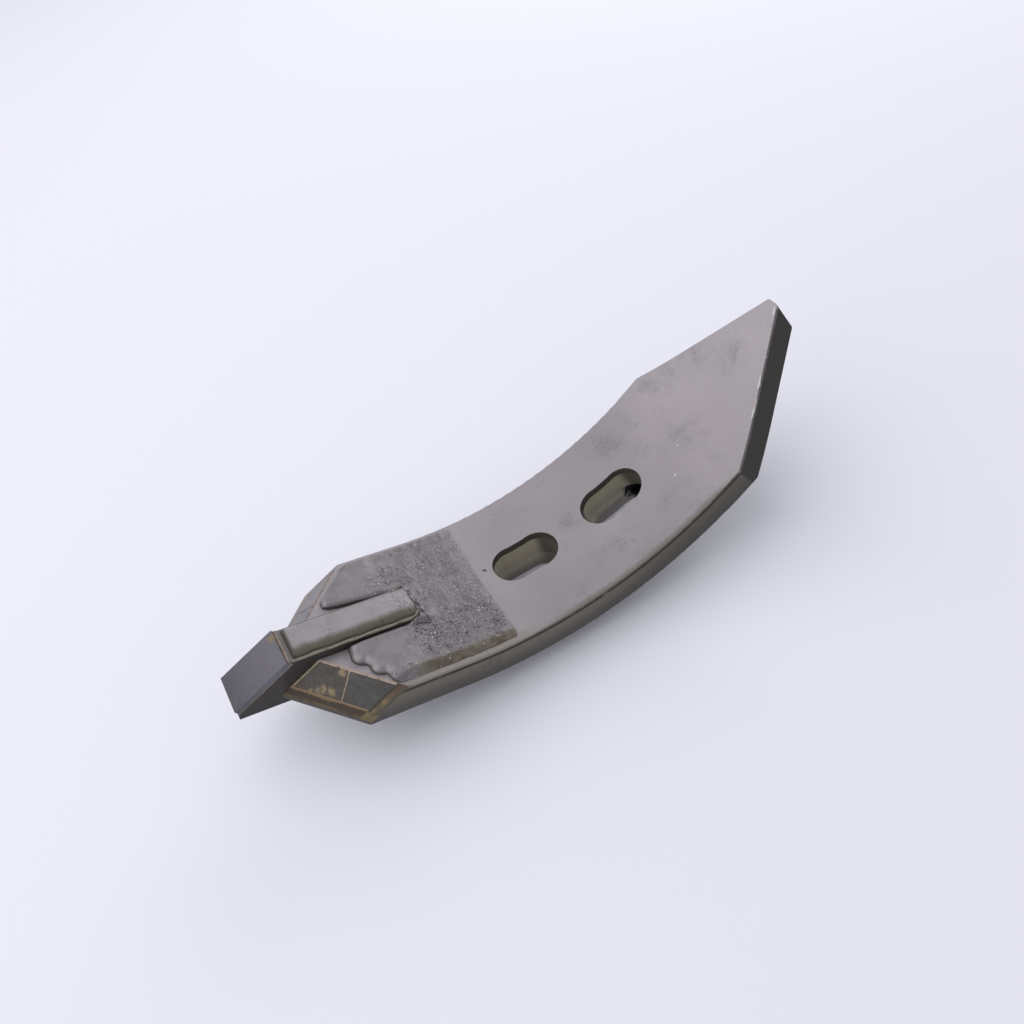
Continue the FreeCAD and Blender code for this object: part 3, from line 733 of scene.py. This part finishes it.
@dataclass(frozen=True)
class BrazeFinish:
    """Braze: a tan joint line, pink along the top, ochre at the foot and dark at the outer side."""

    name: str = "braze"
    light: Colour = (0.33, 0.26, 0.17)
    pink: Colour = (0.42, 0.32, 0.265)
    ochre: Colour = (0.22, 0.15, 0.08)
    dark: Colour = (0.035, 0.029, 0.023)
    dirt: Colour = (0.13, 0.1, 0.07)
    even: bool = False

    def build(self, groups: GroupBook) -> bpy.types.Material:
        """Build the material of the braze."""
        g = Material(self.name, groups)
        dirty = g.noise(g.where, 380.0, 4.0, 0.65, 0.4)
        colour = g.lay(self.light, self.dirt, g.step(dirty, 0.46, 0.66), 0.7)
        if not self.even:
            wave = g.waver(g.height, dirty, 1.5)
            pink = g.mix(g.step(dirty, 0.5, 0.7), self.pink, self.dirt)
            colour = g.mix(g.step(wave, -1.9, -1.0), colour, pink)
            colour = g.mix(g.step(wave, -10.0, -10.9), colour, self.ochre)
            colour = g.lay(colour, self.dark, g.step(g.math("ABSOLUTE", g.across), 35.7, 36.3), 0.9)
        rough = g.plus(g.times(dirty, 0.2), 0.42)
        return g.close(colour, rough, 0.3, g.noise(g.where, 900.0, 2.0), 0.0002)


@dataclass(frozen=True)
class DepositFinish:
    """Hard-facing deposit: smooth grey pads, a spattered purple-grey band and a brown right flank, with painted shade
    on steep walls and a painted highlight along the band's raised end.
    """

    pad: Colour = (0.245, 0.228, 0.24)
    band: Colour = (0.225, 0.202, 0.214)
    dull: Colour = (0.14, 0.124, 0.131)
    # Painted shade for walls of the deposit that turn steeply away from the top.
    steep_shade: Colour = (0.06, 0.053, 0.042)
    hole: Colour = (0.03, 0.026, 0.024)
    crumb: Colour = (0.68, 0.67, 0.68)
    flank: Colour = (0.175, 0.155, 0.11)
    flank_dark: Colour = (0.12, 0.1, 0.07)
    # rim is a painted highlight along the raised end of the band.
    rim: Colour = (0.3, 0.285, 0.285)
    rim_slant: float = 0.022
    holes: Marks = (
        (-10.4, -3.9, 1.4), (-10.9, 4.7, 1.0), (-11.0, 2.9, 0.6), (-10.2, -7.6, 0.8), (-30.9, 12.0, 0.6))
    cracks: Lines = ((-10.4, -4.4, -9.6, -8.6), (-9.4, -9.2, -8.4, -12.8), (-8.3, -13.6, -12.6, -12.8))
    sparks: Marks = ((-12.3, 7.7, 0.5), (-10.9, 7.0, 0.35))

    def build(self, groups: GroupBook) -> bpy.types.Material:
        """Build the material of the wear deposits."""
        g = Material("wear_deposit", groups)
        ragged = g.noise(g.where, 130.0, 4.0, 0.65, 0.4)
        wave = g.sway(ragged, 12.0)
        on_band = g.step(g.plus(g.along, wave), -21.0, -11.0)
        right = g.times(g.band(g.plus(g.across, wave), -29.0, -13.0, 5.0), g.band(g.along, -19.0, 21.5, 7.0))
        left = g.times(g.band(g.across, 11.0, 24.0, 4.0), g.band(g.along, -26.0, -6.0, 4.0))
        lobes = g.times(g.band(g.along, -36.0, -24.0, 3.0), g.step(g.across, -29.0, -32.0))
        crowd = g.total(right, g.times(left, 0.8), g.times(lobes, 0.7))
        density = g.math("ADD", g.times(on_band, 0.45), g.times(crowd, 0.95), clamp=True)
        weld = g.group(groups.spatter, Density=density)
        grain = g.noise(g.where, 1100.0, 3.0, 0.65)
        body = g.mix(on_band, self.pad, self.band)
        body = g.lay(body, self.dull, g.step(ragged, 0.44, 0.66), 0.5)
        drawn = g.noise(g.vector("MULTIPLY", g.where, (1.0, 0.28, 1.0)), 300.0, 3.0, 0.6)
        body = g.lay(body, self.dull, g.times(g.step(drawn, 0.5, 0.62), on_band), 0.6)
        body = g.lay(body, grey(0.09, 0.01), g.times(g.step(grain, 0.46, 0.64), density), 0.5)
        # Painted highlight along the band's raised end.
        rim = g.band(g.minus(g.along, g.times(g.across, self.rim_slant)), 22.4, 24.2, 0.7)
        body = g.lay(body, self.rim, g.times(rim, g.step(ragged, 0.3, 0.5)), 0.55)
        outward = g.plus(g.across, g.times(wave, 0.12))
        drop = g.times(g.step(outward, -31.8, -33.6), g.step(g.along, -29.0, -20.0))
        body = g.lay(body, g.mix(g.step(ragged, 0.42, 0.6), self.flank, self.flank_dark), drop, 0.92)
        # Painted shade on steep walls.
        body = g.lay(body, self.steep_shade, g.step(g.facing, 0.7, 0.3), 0.8)
        near = g.shaken(g.noise(g.where, 520.0, 3.0, 0.6), 2.6)
        marks = g.total(weld["Holes"], g.spots(near, self.holes, 0.8, soft=0.35),
                        g.streaks(near, self.cracks, 0.16, 0.35))
        colour = g.lay(body, self.hole, marks, 0.9)
        bright = g.total(weld["Crumbs"], g.spots(g.here, self.sparks, soft=0.25))
        colour = g.lay(colour, self.crumb, bright, 0.75)
        relief = g.plus(g.times(weld["Relief"], g.plus(density, 0.2)), g.times(grain, 0.12))
        return g.close(colour, g.plus(g.times(density, 0.22), 0.36), 0.4, g.minus(relief, marks), 0.0004)


@dataclass(frozen=True)
class BeadFinish:
    """Weld bead on the bar: grey crown, a right flank darkened towards olive as painted shade, and painted shade in a
    dark line behind its front.
    """

    crown: Colour = (0.32, 0.3, 0.315)
    dull: Colour = (0.23, 0.215, 0.215)
    # flank is painted shade, tinted olive, on the side turned from the light; front is painted shade in the groove
    # behind the bead's front.
    flank: Colour = (0.11, 0.1, 0.07)
    front: Colour = (0.05, 0.043, 0.03)
    hole: Colour = (0.03, 0.026, 0.024)
    crumb: Colour = (0.55, 0.55, 0.55)
    patch: Tuple[float, float] = (-50.5, -0.5)
    holes: Marks = ((-28.6, -6.9, 0.5), (-14.6, -5.8, 0.6))

    def build(self, groups: GroupBook) -> bpy.types.Material:
        """Build the material of the bar bead."""
        g = Material("bar_bead", groups)
        tail, patch = g.step(g.along, -27.0, -18.0), g.spot(g.here, self.patch, 3.2, 2.0)
        density = g.math("ADD", g.times(tail, 0.9), g.times(patch, 0.7), clamp=True)
        weld = g.group(groups.spatter, Density=density)
        cloud = g.noise(g.where, 120.0, 3.0, 0.6)
        grain = g.noise(g.where, 1000.0, 3.0, 0.6)
        colour = g.lay(self.crown, self.dull, g.step(cloud, 0.42, 0.7), 0.45)
        colour = g.lay(colour, grey(0.1, 0.01), g.times(g.step(grain, 0.45, 0.62), density), 0.5)
        outward = g.waver(g.across, g.noise(g.where, 150.0, 3.0, 0.6), 3.0)
        # Painted shade on the right flank.
        colour = g.lay(colour, self.flank, g.step(outward, -2.8, -6.2), 0.95)
        # Painted shade in the groove behind the front.
        colour = g.lay(colour, self.front, g.step(g.along, -67.2, -68.8), 0.9)
        colour = g.lay(colour, self.hole, g.total(weld["Holes"], g.spots(g.here, self.holes, soft=0.4)), 0.85)
        colour = g.lay(colour, self.crumb, weld["Crumbs"], 0.6)
        relief = g.plus(g.times(weld["Relief"], 0.5), g.times(cloud, 0.4))
        return g.close(colour, g.plus(g.times(cloud, 0.16), 0.36), 0.4, relief, 0.00025)


@dataclass(frozen=True)
class PlainSteelFinish:
    """Dull rolled steel for the rib and the welds on the back; slot walls are made pale as painted bounce light, and
    the pocket is painted black as shade.
    """

    name: str = "rib_steel"
    face: Colour = (0.15, 0.142, 0.122)
    specks: Colour = (0.05, 0.047, 0.038)
    depth: float = 0.00016
    slots: Tuple[float, ...] = ()
    # Painted light: wall is made pale to stand in for bounce light in the slots; wall_low is painted shade lower
    # down.
    wall: Colour = (0.56, 0.525, 0.43)
    wall_low: Colour = (0.3, 0.275, 0.26)
    pocket_shade: Colour = (0.008, 0.007, 0.007)

    def build(self, groups: GroupBook) -> bpy.types.Material:
        """Build the material of the rib or of its welds."""
        g = Material(self.name, groups)
        base = g.group(groups.mottle, Light=self.face, Dark=self.specks, Clouds=0.8, Specks=0.7)
        colour = base["Colour"]
        if self.slots:
            wall = g.mix(g.step(g.height, -18.0, -24.0), self.wall, self.wall_low)
            # Painted shade on the slot ends.
            wall = g.lay(wall, self.face, g.slot_ends(self.slots), 0.9)
            # Painted shade: the slanted far part of the second slot's wall and the pocket behind it are painted near
            # black, for the shade in that hollow.
            lean = g.minus(g.along, g.times(g.plus(g.height, 17.4), 0.63))
            pocket = g.times(g.step(lean, 107.6, 108.6), g.band(g.height, -23.4, -17.2, 0.4))
            colour = g.mix(g.slot_mask(self.slots), colour, g.mix(pocket, wall, self.pocket_shade))
            inner = g.times(g.band(g.across, -16.0, 16.0, 0.5), g.band(g.along, 108.0, 126.0, 1.0),
                            g.step(g.facing, -0.6, -0.4))
            colour = g.mix(inner, colour, self.pocket_shade)
        rough = g.plus(g.times(base["Dullness"], 0.3), 0.45)
        return g.close(colour, rough, 0.35, base["Relief"], self.depth)


# Meshes


def ramp(number: Grid, start: float, end: object) -> Grid:
    """Rise evenly from 0 at the start to 1 at the end, and stay there."""
    return np.clip((number - start) / (end - start), 0.0, 1.0)


def ease(share: Grid) -> Grid:
    """Soften both ends of a rise from 0 to 1."""
    return share * share * (3.0 - 2.0 * share)


def dome(depth: Grid, reach: float) -> Grid:
    """Rise from 0 at the rim to 1 at a distance in, as the quarter of an ellipse does."""
    return np.sqrt(np.clip(1.0 - (1.0 - ramp(depth, 0.0, reach)) ** 2, 0.0, 1.0))


def lumps(along: Grid, across: Grid, size: float, seed: float) -> Grid:
    """Give smooth lumps of a size in millimetres, between about -1 and 1."""
    flat = [noise.noise(Vector((s / size, y / size, seed))) for s, y in zip(along.ravel(), across.ravel())]
    return np.array(flat).reshape(along.shape) * 1.6


def smooth_max(first: Grid, second: Grid, blend: float) -> Grid:
    """Join two depths as one rounded form."""
    share = np.clip(0.5 + 0.5 * (first - second) / blend, 0.0, 1.0)
    return second + (first - second) * share + blend * share * (1.0 - share)


def inside_depth(corners: Corners, along: Grid, across: Grid) -> Grid:
    """Give how deep each place lies inside a closed outline; outside it is negative.

    Args:
        corners: the outline's corners in turning order.
        along: places along the face.
        across: places across it.

    Returns:
        Depths in millimetres.
    """
    far = np.full(along.shape, 1e9)
    inside = np.zeros(along.shape, bool)
    for (x0, y0), (x1, y1) in zip(corners, corners[1:] + corners[:1]):
        dx, dy = x1 - x0, y1 - y0
        share = np.clip(((along - x0) * dx + (across - y0) * dy) / (dx * dx + dy * dy), 0.0, 1.0)
        far = np.minimum(far, np.hypot(along - x0 - share * dx, across - y0 - share * dy))
        crosses = (y0 > across) != (y1 > across)
        inside ^= crosses & (along < x0 + (across - y0) * dx / (dy if dy else 1e-9))
    return np.where(inside, far, -far)


def placed(name: str, data: bpy.types.ID) -> bpy.types.Object:
    """Make an object and put it into the scene."""
    made = bpy.data.objects.new(name, data)
    bpy.context.scene.collection.objects.link(made)
    return made


@dataclass
class LaidForm:
    """A form laid on the share: a fine grid cut to its outline and raised to its height."""

    name: str
    low: Tuple[float, float]
    high: Tuple[float, float]
    depth: Field
    height: Field
    floor: float = -0.3
    pitch: float = 0.5
    probe: float = 0.05
    rounds: int = 8

    def to_rim(self, along: Grid, across: Grid) -> Tuple[Grid, Grid]:
        """Move places just outside the outline onto it.

        Args:
            along: places along the face.
            across: places across it.

        Returns:
            The moved places along and across.
        """
        for _ in range(self.rounds):
            here = self.depth(along, across)
            gs = (self.depth(along + self.probe, across) - here) / self.probe
            gy = (self.depth(along, across + self.probe) - here) / self.probe
            size = np.maximum(gs * gs + gy * gy, 0.05)
            along = along - np.clip(here * gs / size, -1, 1)
            across = across - np.clip(here * gy / size, -1, 1)
        return along, across

    def build(self, share: ShareFrame) -> bpy.types.Object:
        """Build the mesh.

        Args:
            share: the frame of the bent face.

        Returns:
            The new object.
        """
        axes = [np.arange(low, high + self.pitch, self.pitch) for low, high in zip(self.low, self.high)]
        along, across = np.meshgrid(*axes, indexing="ij")
        depth = self.depth(along, across)
        kept = np.zeros(depth.shape, bool)
        cell = np.maximum.reduce([depth[:-1, :-1], depth[1:, :-1], depth[:-1, 1:], depth[1:, 1:]]) > 0
        for i in (0, 1):
            for j in (0, 1):
                kept[i:i + cell.shape[0], j:j + cell.shape[1]] |= cell
        rim = kept & (depth <= 0)
        along[rim], across[rim] = self.to_rim(along[rim], across[rim])
        height = np.where(rim, self.floor, self.height(along, across))
        order = -np.ones(kept.shape, int)
        order[kept] = np.arange(kept.sum())
        faces = np.stack([order[:-1, :-1], order[1:, :-1], order[1:, 1:], order[:-1, 1:]], -1)[cell]
        mesh = bpy.data.meshes.new(self.name)
        mesh.from_pydata(share.points(along, across, height)[kept].tolist(), [], faces.tolist())
        mesh.validate()
        mesh.update()
        mesh.shade_smooth()
        return placed(self.name, mesh)


def wire(name: str, places: Grid, thick: float) -> bpy.types.Object:
    """Run a thin bead through points.

    Args:
        name: the object's name.
        places: points in metres.
        thick: its diameter in metres.

    Returns:
        A mesh object.
    """
    curve = bpy.data.curves.new(name, "CURVE")
    curve.dimensions = "3D"
    curve.bevel_depth = thick / 2
    curve.bevel_resolution = 3
    curve.use_fill_caps = True
    line = curve.splines.new("NURBS")
    line.points.add(len(places) - 1)
    for index, (point, place) in enumerate(zip(line.points, places)):
        point.co = (*place, 1.0)
        point.radius = 1.0 + 0.25 * math.sin(1.9 * index) + 0.12 * math.sin(5.1 * index)
    line.order_u = 3
    line.use_endpoint_u = True
    scratch = placed(name + "_line", curve)
    bpy.context.view_layer.update()
    mesh = bpy.data.meshes.new_from_object(scratch.evaluated_get(bpy.context.evaluated_depsgraph_get()))
    bpy.data.objects.remove(scratch)
    mesh.name = name
    mesh.shade_smooth()
    return placed(name, mesh)


def dress(piece: bpy.types.Object, material: bpy.types.Material) -> None:
    """Give a piece one material."""
    piece.data.materials.clear()
    piece.data.materials.append(material)


def settle(piece: bpy.types.Object, slot: str, *nodes: str) -> None:
    """Let a new piece ride on the share and stand for its solids."""
    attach(piece, "root")
    if nodes:
        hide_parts(*nodes)
    LOG.info("piece %s: %d faces", piece.name, len(piece.data.polygons))


# Sub-assemblies


@dataclass
class WearDeposits:
    """The pads beside the bar, the band across the plate and the mound behind the bar's tail."""

    share: ShareFrame
    groups: GroupBook
    right_edge: float = -37.2
    left_edge: float = 37.7
    bar_tail: float = -12.0
    pad_height: float = 3.0
    beside_bar: float = 4.0
    band_height: float = 2.0
    band_reach: float = 23.4
    band_slant: float = 0.022
    band_bow: float = 0.0006
    corner: float = 2.4
    mound_run: float = 9.5
    mound_height: float = 4.7
    mound_crest: float = 1.5
    finish: DepositFinish = field(default_factory=DepositFinish)
    right_pad: Corners = (
        (-46.4, -9.5), (-46.6, -14.5), (-42.5, -22.0), (-37.6, -29.0), (-32.5, -35.5), (-28.0, -37.4),
        (-8.0, -37.4), (-8.0, -9.5))
    right_lobes: Marks = ((-42.2, -16.6, 4.9), (-37.2, -25.0, 4.6), (-31.2, -32.0, 4.9))
    left_pad: Corners = (
        (-28.5, 38.5), (-31.6, 36.2), (-44.2, 23.6), (-46.9, 20.0), (-47.7, 16.4), (-46.2, 15.0), (-41.6, 13.7),
        (-33.9, 12.7), (-22.0, 11.0), (-16.0, 9.6), (-8.0, 9.6), (-8.0, 38.5))
    left_lobe: Tuple[float, float, float] = (-43.9, 18.6, 3.6)

    def from_end(self, along: Grid, across: Grid) -> Grid:
        """Give how far each place lies before the band's end."""
        waver = 0.16 * np.sin(across * 0.55) + 0.1 * np.sin(across * 1.7 + 1.0)
        return self.band_reach + self.band_slant * across + self.band_bow * across ** 2 + waver - along

    def pads(self, along: Grid, across: Grid) -> Grid:
        """Give the depth inside the two pads with their lobed noses."""
        right = inside_depth(self.right_pad, along, across)
        for s, y, r in self.right_lobes:
            right = smooth_max(right, r - np.hypot(along - s, across - y), 0.9)
        s, y, r = self.left_lobe
        left = inside_depth(self.left_pad, along, across)
        left = smooth_max(left, r - np.hypot(along - s, across - y), 1.5)
        return np.where(across < 0, right, left)

    def band(self, along: Grid, across: Grid) -> Grid:
        """Give the depth inside the band, its far corners rounded."""
        ripple = 0.22 * np.sin(along * 0.62 + 0.6) + 0.12 * np.sin(along * 1.9)
        end = self.from_end(along, across)
        side = np.minimum(across - self.right_edge + ripple, self.left_edge + 0.4 * ripple - across)
        inset = np.hypot(np.clip(self.corner - end, 0, None), np.clip(self.corner - side, 0, None))
        return np.minimum.reduce([end, side, self.corner - inset, along - self.bar_tail + 1.5])

    def from_bar(self, along: Grid, across: Grid) -> Grid:
        """Give how far each place lies from the gap beside the bar; the pads close on it at its tail."""
        return np.abs(across) - (9.8 + 0.4 * ramp(along, -17.0, -20.0) + 0.8 * ramp(along, -30.0, -46.0))

    def depth(self, along: Grid, across: Grid) -> Grid:
        """Give the depth inside the whole deposit.

        Args:
            along: places along the face.
            across: places across it.

        Returns:
            Depths in millimetres, negative outside.
        """
        whole = smooth_max(self.pads(along, across), self.band(along, across), 0.4)
        right = across - self.right_edge + 0.22 * np.sin(along * 0.62 + 0.6)
        beside = np.where(along < self.bar_tail, self.from_bar(along, across), 50.0)
        return np.minimum.reduce([whole, right, self.left_edge - across, beside])

    def height(self, along: Grid, across: Grid) -> Grid:
        """Give the height of the deposit above the face.

        Args:
            along: places along the face.
            across: places across it.

        Returns:
            Heights in millimetres.
        """
        on_band = ease(ramp(along, -24.0, -7.0))
        from_bar = self.from_bar(along, across)
        near_bar = np.exp(-(np.clip(from_bar, 0, None) / 3.0) ** 2)
        near_bar = near_bar * ramp(along, -47.0, -40.0) * np.where(across < 0, 1.0, 0.35)
        pad = self.pad_height + (self.beside_bar - self.pad_height) * near_bar
        level = pad * (1 - on_band) + self.band_height * on_band - 0.3 * ramp(along, 0.0, 20.0)
        behind_tail = np.where(along > self.bar_tail - 3, 9.0, -9.0)
        nose = dome(np.maximum(self.pads(along, across), behind_tail), 3.4)
        from_end = self.from_end(along, across)
        end = 0.2 + 0.42 * dome(from_end, 0.9) + 0.38 * ramp(from_end - 1.6, 0.0, 4.0)
        flank = np.interp(along, (-34.0, -22.0, 0.0, 22.0), (3.0, 4.6, 4.2, 2.6))
        right = 0.1 + 0.9 * np.sin(ramp(across - self.right_edge, 0.0, flank) * math.pi / 2) ** 1.2
        left = dome(self.left_edge - across, 3.0)
        closing = ramp(along, -20.0, -15.0)
        beside = np.where(along < self.bar_tail, dome(from_bar + 0.45, 0.9) * (1 - closing) + closing, 1.0)
        beads = 0.05 * np.cos(along * 2 * math.pi / 5.4 + 0.5 * np.sin(across * 0.4)) * on_band
        crowd = on_band * np.exp(-((across + 20.0) / 13.0) ** 2)
        valleys = 0.16 * lumps(along, across, 8.0, 3.0) + 0.07 * lumps(along, across, 2.6, 7.0) * (0.3 + on_band)
        fine = 0.05 * lumps(along, across, 0.9, 11.0) * (0.3 * on_band + crowd)
        total = (level + beads + valleys + fine) * nose * end * right * left * beside
        behind = ease(ramp(along, self.bar_tail + self.mound_run, self.bar_tail)) * ease(ramp(along, -19.5, -13.0))
        crest = self.mound_crest * np.clip(1.0 - (across / 9.0) ** 2, 0.0, 1.0)
        crown = self.mound_height + crest + 0.35 * lumps(along, across, 2.6, 5.0)
        mound = (crown - total) * behind * ease(ramp(np.abs(across), 13.4, 10.0))
        return np.maximum(total + np.maximum(mound, 0.0), -0.05)

    def build(self) -> None:
        """Build the deposit and let it stand for its four solids."""
        form = LaidForm("wear_deposit", (-52.0, -39.0), (26.5, 39.5), self.depth, self.height, pitch=0.38)
        piece = form.build(self.share)
        dress(piece, self.finish.build(self.groups))
        settle(piece, "deposit", "right_deposit", "left_deposit", "cross_deposit", "bar_end_weld")


@dataclass
class BarBead:
    """The weld bead along the top of the nose bar, and a thin pale tan line along the bar's right edge that is a
    painted highlight on that edge.
    """

    share: ShareFrame
    groups: GroupBook
    front: float = -69.6
    tail: float = -12.0
    half: float = 8.3
    base: float = 4.4
    crown: float = 2.5
    line_run: Tuple[float, float] = (-70.4, -16.5)
    line_points: int = 22
    line_side: float = -9.6
    line_thick: float = 1.1
    line_turn: Marks = ((-14.6, -9.5, 4.6), (-12.8, -8.8, 5.2), (-11.8, -7.6, 5.7))
    finish: BeadFinish = field(default_factory=BeadFinish)
    # Painted highlight: the pale line, given braze colours, stands for the light caught by the bar's top edge.
    edge_highlight_finish: BrazeFinish = field(default_factory=lambda: BrazeFinish(
        name="bar_edge_highlight", light=(0.27, 0.245, 0.19), dirt=(0.16, 0.14, 0.105), even=True))

    def depth(self, along: Grid, across: Grid) -> Grid:
        """Give the depth inside the bead."""
        waver = 0.25 * np.sin(along * 0.45) + 0.12 * np.sin(along * 1.3 + 2.0)
        return np.minimum.reduce([self.half + waver - np.abs(across), along - self.front, self.tail - along])

    def height(self, along: Grid, across: Grid) -> Grid:
        """Give the height of the bead above the plate's face."""
        side = dome(self.half + 0.3 - np.abs(across), 6.8)
        ends = dome(along - self.front + 0.1, 2.2)
        swell = 0.16 * lumps(along, across, 7.0, 21.0) + 0.06 * lumps(along, across, 2.2, 24.0)
        return self.base - 0.05 + (self.crown - 0.7 * ramp(along, -22.0, -10.0) + swell) * side * ends

    def build(self) -> None:
        """Build the bead and the painted highlight line along the bar's edge."""
        form = LaidForm("bar_bead", (self.front - 1, -self.half - 1), (self.tail + 1, self.half + 1),
                        self.depth, self.height, floor=self.base - 0.2, pitch=0.45)
        bead = form.build(self.share)
        dress(bead, self.finish.build(self.groups))
        settle(bead, "weld", "nose_bead")
        # Painted highlight along the bar's top edge, built as a thin pale line.
        s = np.linspace(*self.line_run, self.line_points)
        y = self.line_side + 0.16 * np.sin(s * 0.5) + 0.1 * np.sin(s * 1.1)
        h = self.base + 0.05 + 0.1 * np.sin(s * 0.8)
        run = np.concatenate([np.stack([s, y, h], -1), self.line_turn])
        line = wire("bar_edge_highlight", self.share.points(*run.T), self.line_thick * MM)
        dress(line, self.edge_highlight_finish.build(self.groups))
        settle(line, "braze")


@dataclass
class CarriedSolids:
    """The solids of the share that keep their shape and only get a finish."""

    groups: GroupBook
    straw_marks: Marks = (
        (-63.9, -18.9, 2.5), (-61.4, -19.0, 1.9), (-59.0, -22.0, 1.9), (-66.5, -16.4, 1.4), (-52.4, -19.6, 1.5))
    brown_marks: Marks = (
        (-70.4, -12.6, 2.0), (-68.4, -15.6, 2.0), (-66.2, -18.6, 2.0), (-63.6, -21.6, 1.9), (-61.2, -24.4, 1.9))
    nose_marks: Marks = ((-73.2, 6.3, 2.6),)

    def finishes(self) -> Dict[str, object]:
        """Give the finish of every carried solid by its node's name; one finish is built once."""
        plate, braze = PlateFinish(), BrazeFinish()
        outer = TileFinish("outer_tile", (0.07, 0.067, 0.062), (0.054, 0.051, 0.046))
        inner = TileFinish("inner_tile", (0.078, 0.068, 0.058), (0.054, 0.047, 0.04), self.straw_marks,
                           self.brown_marks)
        left = TileFinish("left_tile", (0.25, 0.235, 0.245), (0.2, 0.185, 0.19))
        nose = TileFinish("nose_tile", (0.122, 0.113, 0.13), (0.102, 0.095, 0.11), self.nose_marks, lift=0.6)
        weld = PlainSteelFinish("rib_weld", (0.13, 0.125, 0.11), (0.045, 0.042, 0.035), 0.0004)
        wanted = {"share_plate": plate, "nose_bar": BarFinish(), "nose_tile": nose, "nose_braze": braze,
                  "back_rib": PlainSteelFinish(slots=plate.slots)}
        for side, tiles in {Side.RIGHT: (outer, inner), Side.LEFT: (left, left)}.items():
            name = side.name.lower()
            wanted.update({f"{name}_outer_tile": tiles[0], f"{name}_inner_tile": tiles[1],
                           f"{name}_braze": braze, f"{name}_rib_weld": weld})
        return wanted

    def dress(self, nodes: Dict[str, bpy.types.Object]) -> None:
        """Give every carried solid its material.

        Args:
            nodes: the loaded solids by name.
        """
        wanted = self.finishes()
        made = {finish: finish.build(self.groups) for finish in dict.fromkeys(wanted.values())}
        for name, finish in wanted.items():
            dress(nodes[name], made[finish])
            LOG.info("solid %s: %s", name, made[finish].name)


@dataclass(frozen=True)
class Lamp:
    """A soft square lamp."""

    name: str
    place: Point
    aim: Point
    size: float
    power: float

    def build(self) -> None:
        """Hang the lamp and aim it."""
        light = bpy.data.lights.new(self.name, "AREA")
        light.shape, light.size, light.energy = "SQUARE", self.size, self.power
        made = placed(self.name, light)
        made.location = self.place
        made.rotation_euler = (Vector(self.aim) - Vector(self.place)).to_track_quat("-Z", "Y").to_euler()


@dataclass
class Studio:
    """Plain pale floor, soft light and the camera."""

    share: ShareFrame
    floor_colour: Colour = (0.86, 0.86, 0.93)
    floor_half: float = 6.0
    sky_colour: Colour = (0.93, 0.94, 1.0)
    sky_strength: float = 0.53
    lamps: Tuple[Lamp, ...] = (
        Lamp("top_light", (-0.5, 0.5, 1.5), (0.0, 0.0, 0.0), 2.1, 14.0),
        Lamp("left_light", (-1.3, -0.3, 0.9), (0.0, 0.0, 0.03), 1.2, 3.9),
        Lamp("low_light", (1.1, 1.0, 0.35), (0.0, 0.0, 0.0), 1.2, 9.0))
    camera_place: Point = (-129.748, -260.123, 313.972)
    camera_right: Point = (0.868803, -0.490818, 0.06541)
    camera_down: Point = (-0.284969, -0.603655, -0.744575)
    focal: float = 32.675

    def floor(self) -> None:
        """Lay the floor."""
        half = self.floor_half
        mesh = bpy.data.meshes.new("floor")
        mesh.from_pydata([(-half, -half, 0), (half, -half, 0), (half, half, 0), (-half, half, 0)], [], [(0, 1, 2, 3)])
        made = placed("floor", mesh)
        material = bpy.data.materials.new("pale_floor")
        material.use_nodes = True
        shader = material.node_tree.nodes["Principled BSDF"]
        shader.inputs["Base Color"].default_value = opened(self.floor_colour)
        shader.inputs["Roughness"].default_value = 0.9
        shader.inputs["Specular IOR Level"].default_value = 0.1
        mesh.materials.append(material)

    def lights(self) -> None:
        """Set the lamps and the world's even light."""
        for lamp in self.lamps:
            lamp.build()
        world = bpy.data.worlds.new("studio")
        world.use_nodes = True
        back = world.node_tree.nodes["Background"]
        back.inputs["Color"].default_value = opened(self.sky_colour)
        back.inputs["Strength"].default_value = self.sky_strength
        bpy.context.scene.world = world

    def camera(self) -> None:
        """Set the camera where the photograph was taken from."""
        c, s = math.cos(self.share.tilt), math.sin(self.share.tilt)
        turn = np.array([[c, 0, s], [0, 1, 0], [-s, 0, c]])
        right = Vector(turn @ np.array(self.camera_right)).normalized()
        down = Vector(turn @ np.array(self.camera_down))
        up = (-(down - right * down.dot(right))).normalized()
        data = bpy.data.cameras.new("camera")
        data.sensor_width, data.lens = 36.0, self.focal
        data.clip_start, data.clip_end = 0.01, 50.0
        made = placed("camera", data)
        axes = Matrix((right, up, right.cross(up))).transposed().to_4x4()
        made.matrix_world = Matrix.Translation(Vector(self.share.plain(*self.camera_place))) @ axes
        bpy.context.scene.camera = made

    def build(self) -> None:
        """Set the whole stage."""
        self.floor()
        self.lights()
        self.camera()
        bpy.context.scene.view_settings.view_transform = "Standard"


def main() -> None:
    """Build the classes in order and report each piece."""
    logging.basicConfig(level=logging.INFO, format="%(name)s %(message)s")
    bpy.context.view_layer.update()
    share = ShareFrame.from_record(frame["record"])
    LOG.info("tilt %.3f degrees, shift %.3f %.3f mm", math.degrees(share.tilt), *share.shift)
    groups = GroupBook(share)
    CarriedSolids(groups).dress(frame["nodes"])
    WearDeposits(share, groups).build()
    BarBead(share, groups).build()
    Studio(share).build()


if __name__ == "__main__":
    main()
